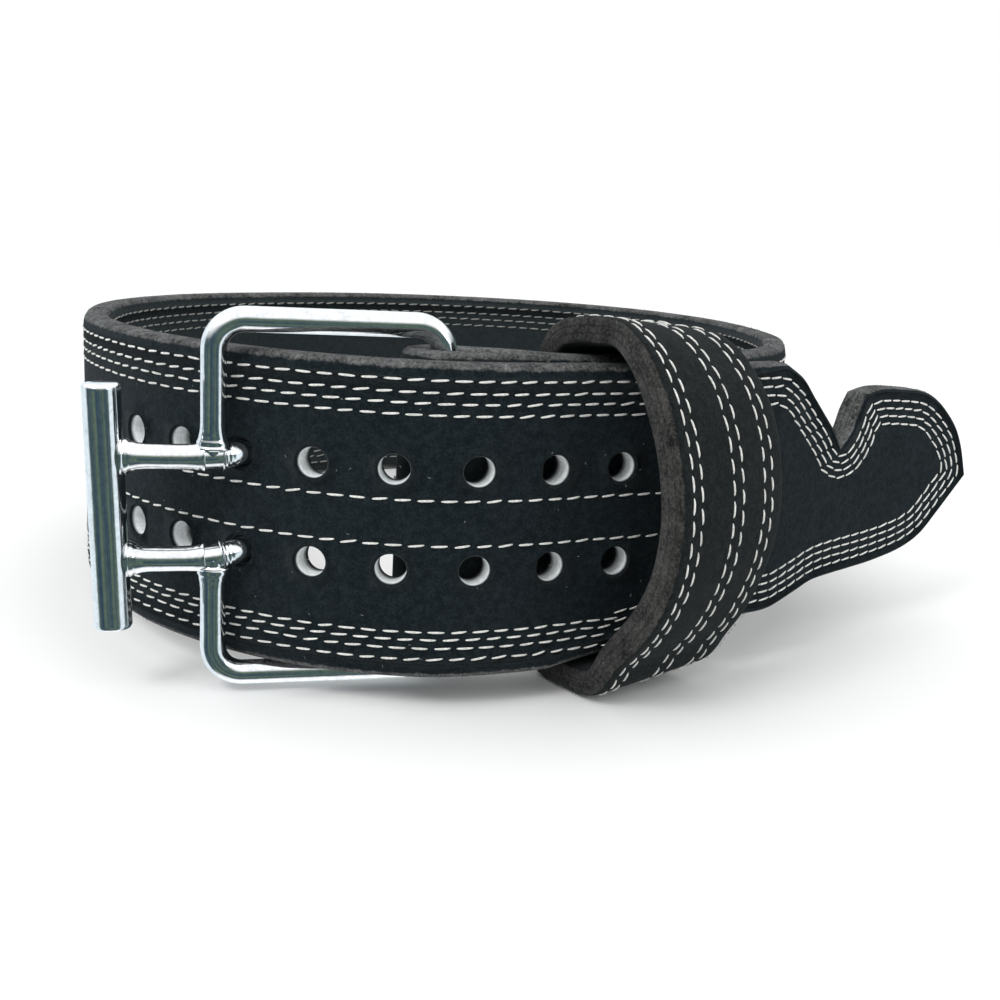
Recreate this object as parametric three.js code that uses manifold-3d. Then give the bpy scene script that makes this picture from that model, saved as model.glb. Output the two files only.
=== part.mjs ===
// A fastened weightlifting belt: a thick leather strap closed on itself by a round steel rod
// buckle with two prongs and a pull bar, its tip held by a wide leather keeper loop.
// Millimetres, +Z up. The belt stands on its lower edges, buckle to the front (-Y), tip to +X.

import * as THREE from 'three';
import { mergeVertices } from 'three/addons/utils/BufferGeometryUtils.js';
import Module from 'manifold-3d';

// Strap
const strapWidth = 100;
const strapThickness = 10;
const waistRadius = 155;
const edgeRoundHeight = 5;
const edgeRoundDepth = 2.2;
const layerGap = 0.6;
const stationStep = 9;

// Tip that sticks out past the keeper
const tipLength = 118.5;
const tipStartDirection = 45;
const tipEndDirection = 29;

// Holes for the prongs, in two rows
const holeDiameter = 9.6;
const holePitch = 24.8;
const upperHoleRow = 67;
const lowerHoleRow = 35.5;
const holesLeftOfProngs = 2;
const holesRightOfProngs = 5;

// Buckle of round rod, its hinge bar held in the folded end of the strap
const rodDiameter = 8;
const buckleLength = 71.7;
const buckleRoom = 5.5;
const buckleRise = 2.1;
const buckleSlant = 14.8;
const bendRadius = 9.5;
const hingeX = 0;
const rodSides = 12;

// Arms that end in prongs, and the pull bar across them
const upperArmHeight = 66.2;
const lowerArmHeight = 33.8;
const armLength = 31.5;
const prongDiameter = 8;
const prongReach = 3;
const prongLead = 9.5;
const pullBarDiameter = 11.5;
const pullBarLength = 77;
const pullBarMiddle = 50;
const pullBarTilt = 2;

// Fold of the strap round the hinge bar
const hingeClearance = 0.4;
const foldSlack = 1;
const flapLength = 32;
const flapDirection = 14.5;
const flapEndThickness = 2;
const foldLead = 20;
const foldDip = 0.5;
const innerLapRise = 1.8;

// Keeper loop
const keeperWidth = 47;
const keeperThickness = 9;
const keeperX = 46.3;
const keeperStartDirection = 36.5;
const keeperEndDirection = 53;
const keeperFrontStart = 38.5;
const keeperFrontEnd = 22.6;
const keeperRise = 10.7;
const keeperClearance = 0.9;
const keeperSlack = 2.8;
const keeperSwell = 2;

const clearanceOverCut = 6;

// Course of the strap seen from above: turn is degrees from +X through the front,
// reach is a share of the waist radius.
const courseRows = [
  { turn: 40, reach: 0.96 },
  { turn: 50, reach: 0.935 },
  { turn: 60, reach: 0.921 },
  { turn: 70, reach: 0.925 },
  { turn: 80, reach: 0.963 },
  { turn: 90, reach: 0.999 },
  { turn: 102, reach: 1.008 },
  { turn: 115, reach: 0.999 },
  { turn: 130, reach: 0.983 },
  { turn: 150, reach: 0.963 },
  { turn: 165, reach: 0.955 },
  { turn: 180, reach: 0.968 },
  { turn: 195, reach: 0.986 },
  { turn: 215, reach: 1.02 },
  { turn: 240, reach: 1.097 },
  { turn: 255, reach: 1.168 },
  { turn: 270, reach: 1.218 },
  { turn: 285, reach: 1.232 },
  { turn: 300, reach: 1.183 },
  { turn: 315, reach: 1.083 },
  { turn: 330, reach: 0.979 },
  { turn: 350, reach: 0.887 },
  { turn: 365, reach: 0.845 },
  { turn: 380, reach: 0.833 },
  { turn: 395, reach: 0.836 },
];

// Outline of the tip: along is a share of the tip's length, up a share of the strap's width.
const tipTopRows = [
  { along: 0.0, up: 1.0 },
  { along: 0.025, up: 0.986 },
  { along: 0.097, up: 0.944 },
  { along: 0.168, up: 0.872 },
  { along: 0.228, up: 0.81 },
  { along: 0.287, up: 0.746 },
  { along: 0.335, up: 0.674 },
];
const tipHookRows = [
  { along: 0.335, up: 0.674 },
  { along: 0.38, up: 0.728 },
  { along: 0.405, up: 0.803 },
  { along: 0.438, up: 0.87 },
];
const tipEndRows = [
  { along: 0.438, up: 0.87 },
  { along: 0.515, up: 0.887 },
  { along: 0.64, up: 0.882 },
  { along: 0.75, up: 0.866 },
  { along: 0.815, up: 0.833 },
  { along: 0.868, up: 0.788 },
  { along: 0.925, up: 0.722 },
  { along: 0.966, up: 0.643 },
  { along: 1.006, up: 0.514 },
];
const tipBottomRows = [
  { along: 1.006, up: 0.514 },
  { along: 0.958, up: 0.452 },
  { along: 0.885, up: 0.36 },
  { along: 0.812, up: 0.278 },
  { along: 0.725, up: 0.23 },
  { along: 0.586, up: 0.196 },
  { along: 0.444, up: 0.18 },
  { along: 0.346, up: 0.173 },
  { along: 0.251, up: 0.163 },
  { along: 0.165, up: 0.135 },
  { along: 0.035, up: 0.101 },
  { along: -0.1, up: 0.096 },
  { along: -0.28, up: 0.086 },
  { along: -0.48, up: 0.05 },
  { along: -0.66, up: 0.02 },
  { along: -0.8, up: -0.02 },
];

// Middle line of the keeper's wall: out is a share of its front depth where positive and of the
// strap stack behind it where negative. Up runs from 0 at its lowest to 1 at its highest point,
// at the end towards the buckle and at the end towards the tip, where the wall is drawn in.
const keeperRows = [
  { out: 1.0, up: 0.538, tipUp: 0.538 },
  { out: 0.935, up: 0.667, tipUp: 0.655 },
  { out: 0.84, up: 0.757, tipUp: 0.735 },
  { out: 0.68, up: 0.856, tipUp: 0.81 },
  { out: 0.457, up: 0.944, tipUp: 0.873 },
  { out: 0.173, up: 0.998, tipUp: 0.932 },
  { out: -0.1, up: 1.0, tipUp: 0.962 },
  { out: -0.45, up: 0.992, tipUp: 0.967 },
  { out: -0.8, up: 0.965, tipUp: 0.972 },
  { out: -1.0, up: 0.885, tipUp: 0.9 },
  { out: -1.03, up: 0.7, tipUp: 0.7 },
  { out: -1.04, up: 0.45, tipUp: 0.45 },
  { out: -1.03, up: 0.2, tipUp: 0.2 },
  { out: -0.98, up: 0.065, tipUp: 0.067 },
  { out: -0.68, up: 0.002, tipUp: 0.005 },
  { out: -0.3, up: 0, tipUp: 0.022 },
  { out: 0.06, up: 0.004, tipUp: 0.062 },
  { out: 0.205, up: 0.024, tipUp: 0.087 },
  { out: 0.378, up: 0.106, tipUp: 0.148 },
  { out: 0.642, up: 0.198, tipUp: 0.236 },
  { out: 0.845, up: 0.3, tipUp: 0.34 },
  { out: 0.958, up: 0.4, tipUp: 0.43 },
];

const degrees = THREE.MathUtils.degToRad;
const wasm = await Module();
wasm.setup();

// Solids and booleans

function toManifold(geometry) {
  const bare = geometry.clone();
  bare.deleteAttribute('normal');
  bare.deleteAttribute('uv');
  const merged = mergeVertices(bare, 1e-4);
  return new wasm.Manifold(new wasm.Mesh({
    numProp: 3,
    vertProperties: new Float32Array(merged.attributes.position.array),
    triVerts: new Uint32Array(merged.index.array),
  }));
}

function toGeometry(solid) {
  const mesh = solid.getMesh();
  const geometry = new THREE.BufferGeometry();
  const corners = new Float32Array(mesh.numVert * 3);
  for (let i = 0; i < mesh.numVert; i += 1) {
    for (let k = 0; k < 3; k += 1) {
      corners[3 * i + k] = mesh.vertProperties[mesh.numProp * i + k];
    }
  }
  geometry.setAttribute('position', new THREE.BufferAttribute(corners, 3));
  geometry.setIndex(Array.from(mesh.triVerts));
  return geometry;
}

// Closed body through a row of rings that all have the same number of corners.
function loft(rings, closed) {
  const count = rings[0].length;
  const corners = rings.flat().flatMap((p) => [p.x, p.y, p.z]);
  const faces = [];
  const spans = closed ? rings.length : rings.length - 1;
  for (let i = 0; i < spans; i += 1) {
    const here = i * count;
    const next = ((i + 1) % rings.length) * count;
    for (let k = 0; k < count; k += 1) {
      const l = (k + 1) % count;
      faces.push(here + k, here + l, next + l, here + k, next + l, next + k);
    }
  }
  if (!closed) {
    const last = (rings.length - 1) * count;
    for (let k = 1; k < count - 1; k += 1) {
      faces.push(0, k + 1, k, last, last + k, last + k + 1);
    }
  }
  const geometry = new THREE.BufferGeometry();
  geometry.setAttribute('position', new THREE.Float32BufferAttribute(corners, 3));
  geometry.setIndex(faces);
  return geometry;
}

// Course of the strap in plan

function courseAt(turn, reach) {
  const angle = degrees(turn);
  return new THREE.Vector2(reach * Math.cos(angle), -reach * Math.sin(angle));
}

function curveThrough(points, step) {
  const curve = new THREE.CatmullRomCurve3(points.map((p) => new THREE.Vector3(p.x, p.y, 0)));
  const count = Math.ceil(curve.getLength() / step);
  return curve.getSpacedPoints(count).map((p) => new THREE.Vector2(p.x, p.y));
}

const outerLap = courseRows.map((row) => courseAt(row.turn, row.reach * waistRadius));
const lapStep = strapThickness + layerGap;

// Point of the outer lap's middle line at a given x in front, found on a fine copy of it.
const fineCourse = curveThrough(outerLap, 1);
function frontAt(x) {
  const front = fineCourse.filter((p) => p.y < 0);
  return front.reduce((best, p) => (Math.abs(p.x - x) < Math.abs(best.x - x) ? p : best));
}
function normalAt(point) {
  const i = fineCourse.indexOf(point);
  const ahead = fineCourse[Math.min(i + 3, fineCourse.length - 1)];
  const behind = fineCourse[Math.max(i - 3, 0)];
  const along = ahead.clone().sub(behind).normalize();
  return new THREE.Vector2(-along.y, along.x);
}
// Index on the fine course after walking a distance from another index, positive to the left.
function walk(start, distance) {
  const step = Math.sign(distance);
  let index = start;
  let left = Math.abs(distance);
  while (left > 0 && fineCourse[index + step]) {
    left -= fineCourse[index].distanceTo(fineCourse[index + step]);
    index += step;
  }
  return index;
}
function behindFront(x, depth) {
  const point = frontAt(x);
  return point.clone().addScaledVector(normalAt(point), -depth);
}

const foldRadius = rodDiameter / 2 + hingeClearance + strapThickness / 2;
const hinge = frontAt(hingeX).clone();
hinge.y += strapThickness + layerGap + foldSlack + foldRadius;

// The inner lap runs close behind the outer one in the keeper and ends behind the hinge bar.
// Rows: how far past the keeper's place, as a share of its width, and how much further back
// than the closest lap, as a share of the strap's thickness.
const innerLapRows = [
  { past: 1.02, back: 0.2 },
  { past: 0.64, back: 0.05 },
  { past: 0.255, back: 0.03 },
  { past: -0.085, back: 0.1 },
];
const innerLap = innerLapRows.map(({ past, back }) => {
  return behindFront(keeperX + keeperWidth * past, lapStep + strapThickness * back);
});
innerLap.push(
  new THREE.Vector2(hingeX + foldLead, hinge.y + foldRadius - foldDip),
  new THREE.Vector2(hingeX, hinge.y + foldRadius),
);

function straight(from, to, step) {
  const count = Math.max(1, Math.ceil(from.distanceTo(to) / step));
  const points = [];
  for (let i = 0; i <= count; i += 1) {
    points.push(from.clone().lerp(to, i / count));
  }
  return points;
}

const tipStart = outerLap[0];

// Middle line of the tip at a distance past its start: it bows away from the waist.
// Before its start it is the outer lap itself.
function tipPlace(distance) {
  if (distance < 0) {
    const behind = fineCourse[walk(0, -distance)];
    return { point: behind, outward: normalAt(behind) };
  }
  const steps = 24;
  const point = tipStart.clone();
  let direction = degrees(tipStartDirection);
  for (let i = 0; i < steps; i += 1) {
    const share = Math.max(0, (distance * (i + 0.5)) / (steps * tipLength));
    direction = degrees(THREE.MathUtils.lerp(tipStartDirection, tipEndDirection, share));
    point.x += (Math.cos(direction) * distance) / steps;
    point.y += (Math.sin(direction) * distance) / steps;
  }
  return { point, outward: new THREE.Vector2(Math.sin(direction), -Math.cos(direction)) };
}
const tipSteps = 10;
const tipStations = [];
for (let i = tipSteps; i > 0; i -= 1) {
  tipStations.push(tipPlace((tipLength * i) / tipSteps).point);
}

const foldSteps = 9;
const fold = [];
for (let i = 1; i <= foldSteps; i += 1) {
  const angle = degrees(90 + ((180 + flapDirection) * i) / foldSteps);
  fold.push(new THREE.Vector2(
    hinge.x + foldRadius * Math.cos(angle),
    hinge.y + foldRadius * Math.sin(angle),
  ));
}
const flapAlong = new THREE.Vector2(Math.cos(degrees(flapDirection)), Math.sin(degrees(flapDirection)));
const flapStart = fold[fold.length - 1];
const flapEnd = flapStart.clone().addScaledVector(flapAlong, flapLength);

const laps = curveThrough([...outerLap, ...innerLap], stationStep);
const flap = straight(flapStart, flapEnd, stationStep).slice(1);
const stations = [
  ...tipStations,
  ...laps,
  ...fold,
  ...flap,
];

// Strap

function strapSection(thickness, rise) {
  const out = thickness / 2;
  const inset = Math.min(edgeRoundDepth, thickness * 0.22);
  const top = strapWidth + rise;
  const bottom = rise;
  return [
    [out, bottom + edgeRoundHeight],
    [out, top - edgeRoundHeight],
    [out - inset * 0.35, top - edgeRoundHeight * 0.3],
    [out - inset, top],
    [inset - out, top],
    [inset * 0.35 - out, top - edgeRoundHeight * 0.3],
    [-out, top - edgeRoundHeight],
    [-out, bottom + edgeRoundHeight],
    [inset * 0.35 - out, bottom + edgeRoundHeight * 0.3],
    [inset - out, bottom],
    [out - inset, bottom],
    [out - inset * 0.35, bottom + edgeRoundHeight * 0.3],
  ];
}

function strapRings() {
  const riseStart = stations.length - fold.length - flap.length - Math.round(260 / stationStep);
  const riseEnd = stations.length - fold.length - flap.length;
  const taperStart = stations.length - flap.length;
  return stations.map((point, i) => {
    const ahead = stations[Math.min(i + 1, stations.length - 1)];
    const behind = stations[Math.max(i - 1, 0)];
    const along = ahead.clone().sub(behind).normalize();
    const outward = new THREE.Vector2(-along.y, along.x);
    const rise = innerLapRise * THREE.MathUtils.smoothstep(i, riseStart, riseEnd);
    const taper = Math.max(0, (i - taperStart + 1) / flap.length);
    const thickness = THREE.MathUtils.lerp(strapThickness, flapEndThickness, taper);
    return strapSection(thickness, rise).map(([out, up]) => new THREE.Vector3(
      point.x + outward.x * out,
      point.y + outward.y * out,
      up,
    ));
  });
}

// Cutter for the outline of the tip, bent with the tip so that its walls stand square to it.
function tipCutter() {
  const smooth = (rows) => {
    const points = rows.map((row) => new THREE.Vector2(row.along * tipLength, row.up * strapWidth));
    return new THREE.SplineCurve(points).getPoints((rows.length - 1) * 2);
  };
  const outline = [tipTopRows, tipHookRows, tipEndRows, tipBottomRows].flatMap(smooth);
  const over = clearanceOverCut;
  const first = outline[0].x;
  const last = outline[outline.length - 1].x;
  const past = tipLength + over;
  const level = (from, to, up) => straight(
    new THREE.Vector2(from, up),
    new THREE.Vector2(to, up),
    stationStep,
  );
  const shape = new THREE.Shape([
    ...outline,
    ...level(last, past, -over),
    ...level(past, first, strapWidth + over),
  ]);
  const depth = strapThickness + 2 * over;
  const cutter = new THREE.ExtrudeGeometry(shape, { depth, bevelEnabled: false });
  cutter.translate(0, 0, -depth / 2);
  const position = cutter.attributes.position;
  for (let i = 0; i < position.count; i += 1) {
    const { point, outward } = tipPlace(position.getX(i));
    const out = position.getZ(i);
    position.setXYZ(i, point.x + outward.x * out, point.y + outward.y * out, position.getY(i));
  }
  return toManifold(cutter);
}

// Point on the outer lap at a distance along it from the prongs, positive to the left.
function alongFromProngs(distance) {
  return fineCourse[walk(fineCourse.indexOf(frontAt(prongX)), distance)];
}

const buckleAlong = new THREE.Vector2(-Math.cos(degrees(buckleSlant)), -Math.sin(degrees(buckleSlant)));
const buckleEnd = hinge.clone().addScaledVector(buckleAlong, buckleLength);
const prongX = buckleEnd.x + prongLead;

function holeCutter(distance, height, diameter) {
  const point = alongFromProngs(distance);
  const normal = normalAt(point);
  const length = strapThickness + 2 * clearanceOverCut;
  const cutter = new THREE.CylinderGeometry(diameter / 2, diameter / 2, length, 16);
  const axis = new THREE.Vector3(normal.x, normal.y, 0);
  cutter.applyQuaternion(new THREE.Quaternion().setFromUnitVectors(new THREE.Vector3(0, 1, 0), axis));
  cutter.translate(point.x, point.y, height);
  return toManifold(cutter);
}

function makeStrap() {
  const rings = strapRings();
  const joint = Math.round(rings.length * 0.4);
  let strap = toManifold(loft(rings.slice(0, joint + 1), false)).subtract(tipCutter());
  for (let k = -holesRightOfProngs; k <= holesLeftOfProngs; k += 1) {
    for (const row of [upperHoleRow, lowerHoleRow]) {
      strap = strap.subtract(holeCutter(k * holePitch, row, holeDiameter));
    }
  }
  return toGeometry(strap.add(toManifold(loft(rings.slice(joint), false))));
}

// Keeper loop

// Towards the tip the lower wall is drawn up under the narrowing strap.
function keeperWalls(share) {
  const front = THREE.MathUtils.lerp(keeperFrontStart, keeperFrontEnd, share);
  const stack = 2 * strapThickness + 2 * layerGap + keeperSlack + keeperThickness / 2;
  const lowest = -keeperClearance - keeperThickness / 2;
  const highest = strapWidth + keeperRise;
  const middle = keeperRows.map((row) => {
    const up = THREE.MathUtils.lerp(row.up, row.tipUp, share);
    const out = row.out * (row.out > 0 ? front : stack);
    return new THREE.Vector3(out, THREE.MathUtils.lerp(lowest, highest, up), 0);
  });
  const curve = new THREE.CatmullRomCurve3(middle, true, 'centripetal');
  const around = curve.getPoints(keeperRows.length * 2).slice(0, -1);
  const wall = (depthAt) => around.map((p, i) => {
    const ahead = around[(i + 1) % around.length];
    const behind = around[(i + around.length - 1) % around.length];
    const along = ahead.clone().sub(behind).normalize();
    const depth = depthAt(p.x / front);
    return [p.x + along.y * depth, p.y - along.x * depth];
  });
  const half = keeperThickness / 2;
  const swell = (out) => keeperSwell * THREE.MathUtils.smoothstep(out, 0.1, 0.7);
  return { outside: wall(() => half), inside: wall((out) => -half - swell(out)) };
}

function makeKeeper() {
  const steps = 5;
  const start = fineCourse.indexOf(frontAt(keeperX));
  const inside = [];
  const outside = [];
  for (let i = 0; i <= steps; i += 1) {
    const share = i / steps;
    const middle = fineCourse[walk(start, -keeperWidth * share)];
    const face = middle.clone().addScaledVector(normalAt(middle), strapThickness / 2);
    const direction = degrees(THREE.MathUtils.lerp(keeperStartDirection, keeperEndDirection, share));
    const outward = new THREE.Vector2(Math.sin(direction), -Math.cos(direction));
    const ring = (section) => section.map(([out, up]) => new THREE.Vector3(
      face.x + outward.x * out,
      face.y + outward.y * out,
      up,
    ));
    const walls = keeperWalls(share);
    inside.push(ring(walls.inside));
    outside.push(ring(walls.outside));
  }
  return loft([...inside, ...outside.reverse()], true);
}

// Buckle

function rod(points, diameter, sides) {
  const rings = points.map((point, i) => {
    const ahead = points[Math.min(i + 1, points.length - 1)];
    const behind = points[Math.max(i - 1, 0)];
    return { point, along: ahead.clone().sub(behind).normalize() };
  });
  let side = new THREE.Vector3(1, 0, 0);
  if (Math.abs(rings[0].along.x) > 0.8) {
    side = new THREE.Vector3(0, 0, 1);
  }
  return loft(rings.map(({ point, along }) => {
    side = side.clone().addScaledVector(along, -side.dot(along)).normalize();
    const other = new THREE.Vector3().crossVectors(along, side);
    const ring = [];
    for (let k = 0; k < sides; k += 1) {
      const angle = (2 * Math.PI * k) / sides;
      ring.push(point.clone()
        .addScaledVector(side, (diameter / 2) * Math.cos(angle))
        .addScaledVector(other, (diameter / 2) * Math.sin(angle)));
    }
    return ring;
  }), false);
}

// Corner points of a bent rod turned into a course with round bends of one radius.
function bent(corners, radius, steps) {
  const points = [corners[0]];
  for (let i = 1; i < corners.length - 1; i += 1) {
    const corner = corners[i];
    const before = corners[i - 1].clone().sub(corner).normalize();
    const after = corners[i + 1].clone().sub(corner).normalize();
    const half = before.angleTo(after) / 2;
    const reach = radius / Math.tan(half);
    const centre = corner.clone().addScaledVector(
      before.clone().add(after).normalize(),
      radius / Math.sin(half),
    );
    const first = corner.clone().addScaledVector(before, reach).sub(centre);
    const last = corner.clone().addScaledVector(after, reach).sub(centre);
    const sweep = first.angleTo(last);
    for (let k = 0; k <= steps; k += 1) {
      const t = k / steps;
      const a = Math.sin((1 - t) * sweep) / Math.sin(sweep);
      const b = Math.sin(t * sweep) / Math.sin(sweep);
      points.push(centre.clone().addScaledVector(first, a).addScaledVector(last, b));
    }
  }
  points.push(corners[corners.length - 1]);
  return points;
}

function makeBuckle() {
  const innerHeight = strapWidth + buckleRoom;
  const top = strapWidth / 2 + buckleRise + (innerHeight + rodDiameter) / 2;
  const bottom = top - innerHeight - rodDiameter;
  const at = (plan, height) => new THREE.Vector3(plan.x, plan.y, height);
  const frame = bent([
    at(buckleEnd, upperArmHeight),
    at(buckleEnd, top),
    at(hinge, top),
    at(hinge, bottom),
    at(buckleEnd, bottom),
    at(buckleEnd, lowerArmHeight),
  ], bendRadius, 5);
  let solid = toManifold(rod(frame, rodDiameter, rodSides));

  const tilt = degrees(pullBarTilt);
  const pullPlan = buckleEnd.clone().addScaledVector(buckleAlong, armLength);
  const pullAt = (height) => at(
    pullPlan.clone().addScaledVector(buckleAlong, Math.tan(tilt) * (height - pullBarMiddle)),
    height,
  );
  const pullBottom = pullAt(pullBarMiddle - pullBarLength / 2);
  const pullTop = pullAt(pullBarMiddle + pullBarLength / 2);
  solid = solid.add(toManifold(rod([pullBottom, pullTop], pullBarDiameter, rodSides + 2)));

  for (const [armHeight, holeHeight] of [[upperArmHeight, upperHoleRow], [lowerArmHeight, lowerHoleRow]]) {
    const hole = alongFromProngs(0);
    const inward = normalAt(hole).negate();
    const mouth = hole.clone().addScaledVector(inward, -strapThickness / 2 - 1);
    const end = hole.clone().addScaledVector(inward, strapThickness / 2 + prongReach);
    const bend = hole.clone().addScaledVector(inward, -strapThickness / 2 - rodDiameter / 2 + 1);
    const course = [
      at(pullAt(armHeight), armHeight),
      at(buckleEnd.clone().addScaledVector(buckleAlong, 3), armHeight),
      at(buckleEnd, armHeight).lerp(at(bend, holeHeight), 0.45),
      at(mouth, holeHeight),
      at(end, holeHeight),
    ];
    solid = solid.add(toManifold(rod(course, prongDiameter, rodSides)));
  }
  return toGeometry(solid);
}

// Assembly

const leather = new THREE.MeshStandardMaterial({ color: 0x16191a, roughness: 0.95, metalness: 0 });
const keeperLeather = new THREE.MeshStandardMaterial({ color: 0x1b1c1b, roughness: 0.95, metalness: 0 });
const steel = new THREE.MeshStandardMaterial({ color: 0xd0d3d6, roughness: 0.12, metalness: 1 });

function named(name, geometry, material) {
  const mesh = new THREE.Mesh(geometry, material);
  mesh.name = name;
  return mesh;
}

const belt = new THREE.Group();
belt.add(
  named('strap', makeStrap(), leather),
  named('keeper_loop', makeKeeper(), keeperLeather),
  named('buckle', makeBuckle(), steel),
);

// The belt leans back from the keeper's lower wall to the strap's lower edge at the back.
const lowestFront = -keeperClearance - keeperThickness;
const backPoint = fineCourse.reduce((best, p) => (p.y > best.y ? p : best));
const lean = Math.atan2(lowestFront, backPoint.y - frontAt(keeperX).y);
belt.rotation.x = lean;

const group = new THREE.Group();
group.add(belt);
group.updateMatrixWorld(true);
const box = new THREE.Box3().setFromObject(group, true);
belt.position.set(
  -(box.min.x + box.max.x) / 2,
  -(box.min.y + box.max.y) / 2,
  -box.min.z,
);

export default group;
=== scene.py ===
# A fastened weightlifting belt of thick black suede with a chromed rod buckle.
# Every piece is made in millimetres, in the belt's own frame before it leans on the floor.

import math

import bpy
import numpy as np
from mathutils import Matrix, Vector
from mathutils.geometry import delaunay_2d_cdt


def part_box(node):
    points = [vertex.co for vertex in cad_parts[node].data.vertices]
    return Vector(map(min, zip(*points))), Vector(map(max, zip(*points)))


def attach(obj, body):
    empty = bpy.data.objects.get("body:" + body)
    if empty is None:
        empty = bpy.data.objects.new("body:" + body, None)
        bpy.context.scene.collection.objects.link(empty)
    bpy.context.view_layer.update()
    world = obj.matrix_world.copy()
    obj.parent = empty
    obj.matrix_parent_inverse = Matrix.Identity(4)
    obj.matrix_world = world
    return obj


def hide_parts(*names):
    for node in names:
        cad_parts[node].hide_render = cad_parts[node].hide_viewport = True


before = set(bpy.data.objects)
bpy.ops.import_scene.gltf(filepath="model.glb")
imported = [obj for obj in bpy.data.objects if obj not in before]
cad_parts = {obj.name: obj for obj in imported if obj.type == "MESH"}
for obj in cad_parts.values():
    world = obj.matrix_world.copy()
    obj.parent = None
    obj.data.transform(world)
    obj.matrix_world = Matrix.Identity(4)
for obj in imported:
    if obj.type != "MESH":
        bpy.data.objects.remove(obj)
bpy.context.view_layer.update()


# The strap: one band of glued suede plies, 100 mm wide and 10 mm thick, with a cut and rounded
# edge. It runs from the hooked tip round the waist to the fold that holds the buckle's hinge bar,
# and two rows of punched holes take the prongs.

strap_width = 100.0
strap_thickness = 10.0
layer_gap = 0.6
lap_step = strap_thickness + layer_gap
waist_radius = 155.0

# Turn in degrees from +X through the front, reach as a share of the waist radius.
course_rows = [
    (40, 0.96),
    (50, 0.935),
    (60, 0.921),
    (70, 0.925),
    (80, 0.963),
    (90, 0.999),
    (102, 1.008),
    (115, 0.999),
    (130, 0.983),
    (150, 0.963),
    (165, 0.955),
    (180, 0.968),
    (195, 0.986),
    (215, 1.02),
    (240, 1.097),
    (255, 1.168),
    (270, 1.218),
    (285, 1.232),
    (300, 1.183),
    (315, 1.083),
    (330, 0.979),
    (350, 0.887),
    (365, 0.845),
    (380, 0.833),
    (395, 0.836),
]


def smooth_line(points, closed=False, steps=24):
    """Points of a smooth line through the given ones, even for uneven spacing."""
    points = np.asarray(points, float)
    count = len(points)
    if closed:
        padded = np.vstack([points[-1], points, points[0], points[1]])
    else:
        first = 2 * points[0] - points[1]
        last = 2 * points[-1] - points[-2]
        padded = np.vstack([first, points, last])
    line = []
    spans = count if closed else count - 1
    share = np.arange(steps)[:, None] / steps
    for k in range(spans):
        a, b, c, d = padded[k:k + 4]
        before = max(np.linalg.norm(b - a) ** 0.5, 1e-6)
        here = max(np.linalg.norm(c - b) ** 0.5, 1e-6)
        after = max(np.linalg.norm(d - c) ** 0.5, 1e-6)
        start = (b - a) / before - (c - a) / (before + here) + (c - b) / here
        stop = (c - b) / here - (d - b) / (here + after) + (d - c) / after
        start = start * here
        stop = stop * here
        line.append(
            b
            + start * share
            + (3 * (c - b) - 2 * start - stop) * share ** 2
            + (2 * (b - c) + start + stop) * share ** 3
        )
    if not closed:
        line.append(points[-1:])
    return np.vstack(line)


def walked(line):
    """Distance walked along a line at each of its points."""
    return np.concatenate([[0.0], np.cumsum(np.linalg.norm(np.diff(line, axis=0), axis=1))])


def along_line(line, distances):
    """Points of a line at the given distances from its start."""
    gone = walked(line)
    return np.stack([np.interp(distances, gone, line[:, k]) for k in range(line.shape[1])], 1)


def heading(line, distances, reach=1.5):
    """Unit directions of a line at the given distances, taken over a short reach."""
    ahead = along_line(line, np.asarray(distances) + reach)
    behind = along_line(line, np.asarray(distances) - reach)
    step = ahead - behind
    return step / np.linalg.norm(step, axis=1, keepdims=True)


turns = np.radians([turn for turn, reach in course_rows])
reaches = np.array([reach for turn, reach in course_rows]) * waist_radius
outer_lap = np.stack([reaches * np.cos(turns), -reaches * np.sin(turns)], 1)
outer_line = smooth_line(outer_lap)


def walk_to(x):
    """Distance along the outer lap to the place in front at a given x."""
    gone = walked(outer_line)
    front = outer_line[:, 1] < 0
    nearest = np.argmin(np.where(front, np.abs(outer_line[:, 0] - x), np.inf))
    return gone[nearest]


def behind_front(x, depth):
    """Place a given depth behind the outer lap's middle line, at a given x in front."""
    distance = walk_to(x)
    place = along_line(outer_line, [distance])[0]
    go = heading(outer_line, [distance])[0]
    return place - depth * np.array([-go[1], go[0]])


# The hinge bar lies in the strap's fold, a flap ends it between the two laps.
rod_diameter = 8.0
hinge_clearance = 0.4
fold_slack = 1.0
hinge_x = 0.0
fold_radius = rod_diameter / 2 + hinge_clearance + strap_thickness / 2
flap_length = 32.0
flap_direction = math.radians(14.5)
flap_end_thickness = 2.0
inner_lap_rise = 1.8
rise_length = 260.0

hinge = along_line(outer_line, [walk_to(hinge_x)])[0]
hinge = hinge + [0.0, lap_step + fold_slack + fold_radius]

# Course of the inner lap up to the fold: place in x from the keeper's end towards the buckle,
# and how much deeper than one lap it lies behind the outer lap.
keeper_x = 46.3
inner_lap_rows = [
    (48.0, 2.0),
    (30.0, 0.5),
    (12.0, 0.3),
    (-4.0, 1.0),
]
fold_lead = np.array([20.0, fold_radius - 0.5])

inner_lap = [behind_front(keeper_x + x, lap_step + slack) for x, slack in inner_lap_rows]
inner_lap += [hinge + fold_lead, hinge + [0.0, fold_radius]]
laps = smooth_line(np.vstack([outer_lap, inner_lap]))

fold_turns = np.pi / 2 + (np.pi + flap_direction) * np.linspace(0, 1, 40)[1:]
fold = hinge + fold_radius * np.stack([np.cos(fold_turns), np.sin(fold_turns)], 1)
flap_go = np.array([math.cos(flap_direction), math.sin(flap_direction)])
flap = fold[-1] + flap_go * np.linspace(0, flap_length, 12)[1:, None]

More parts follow.
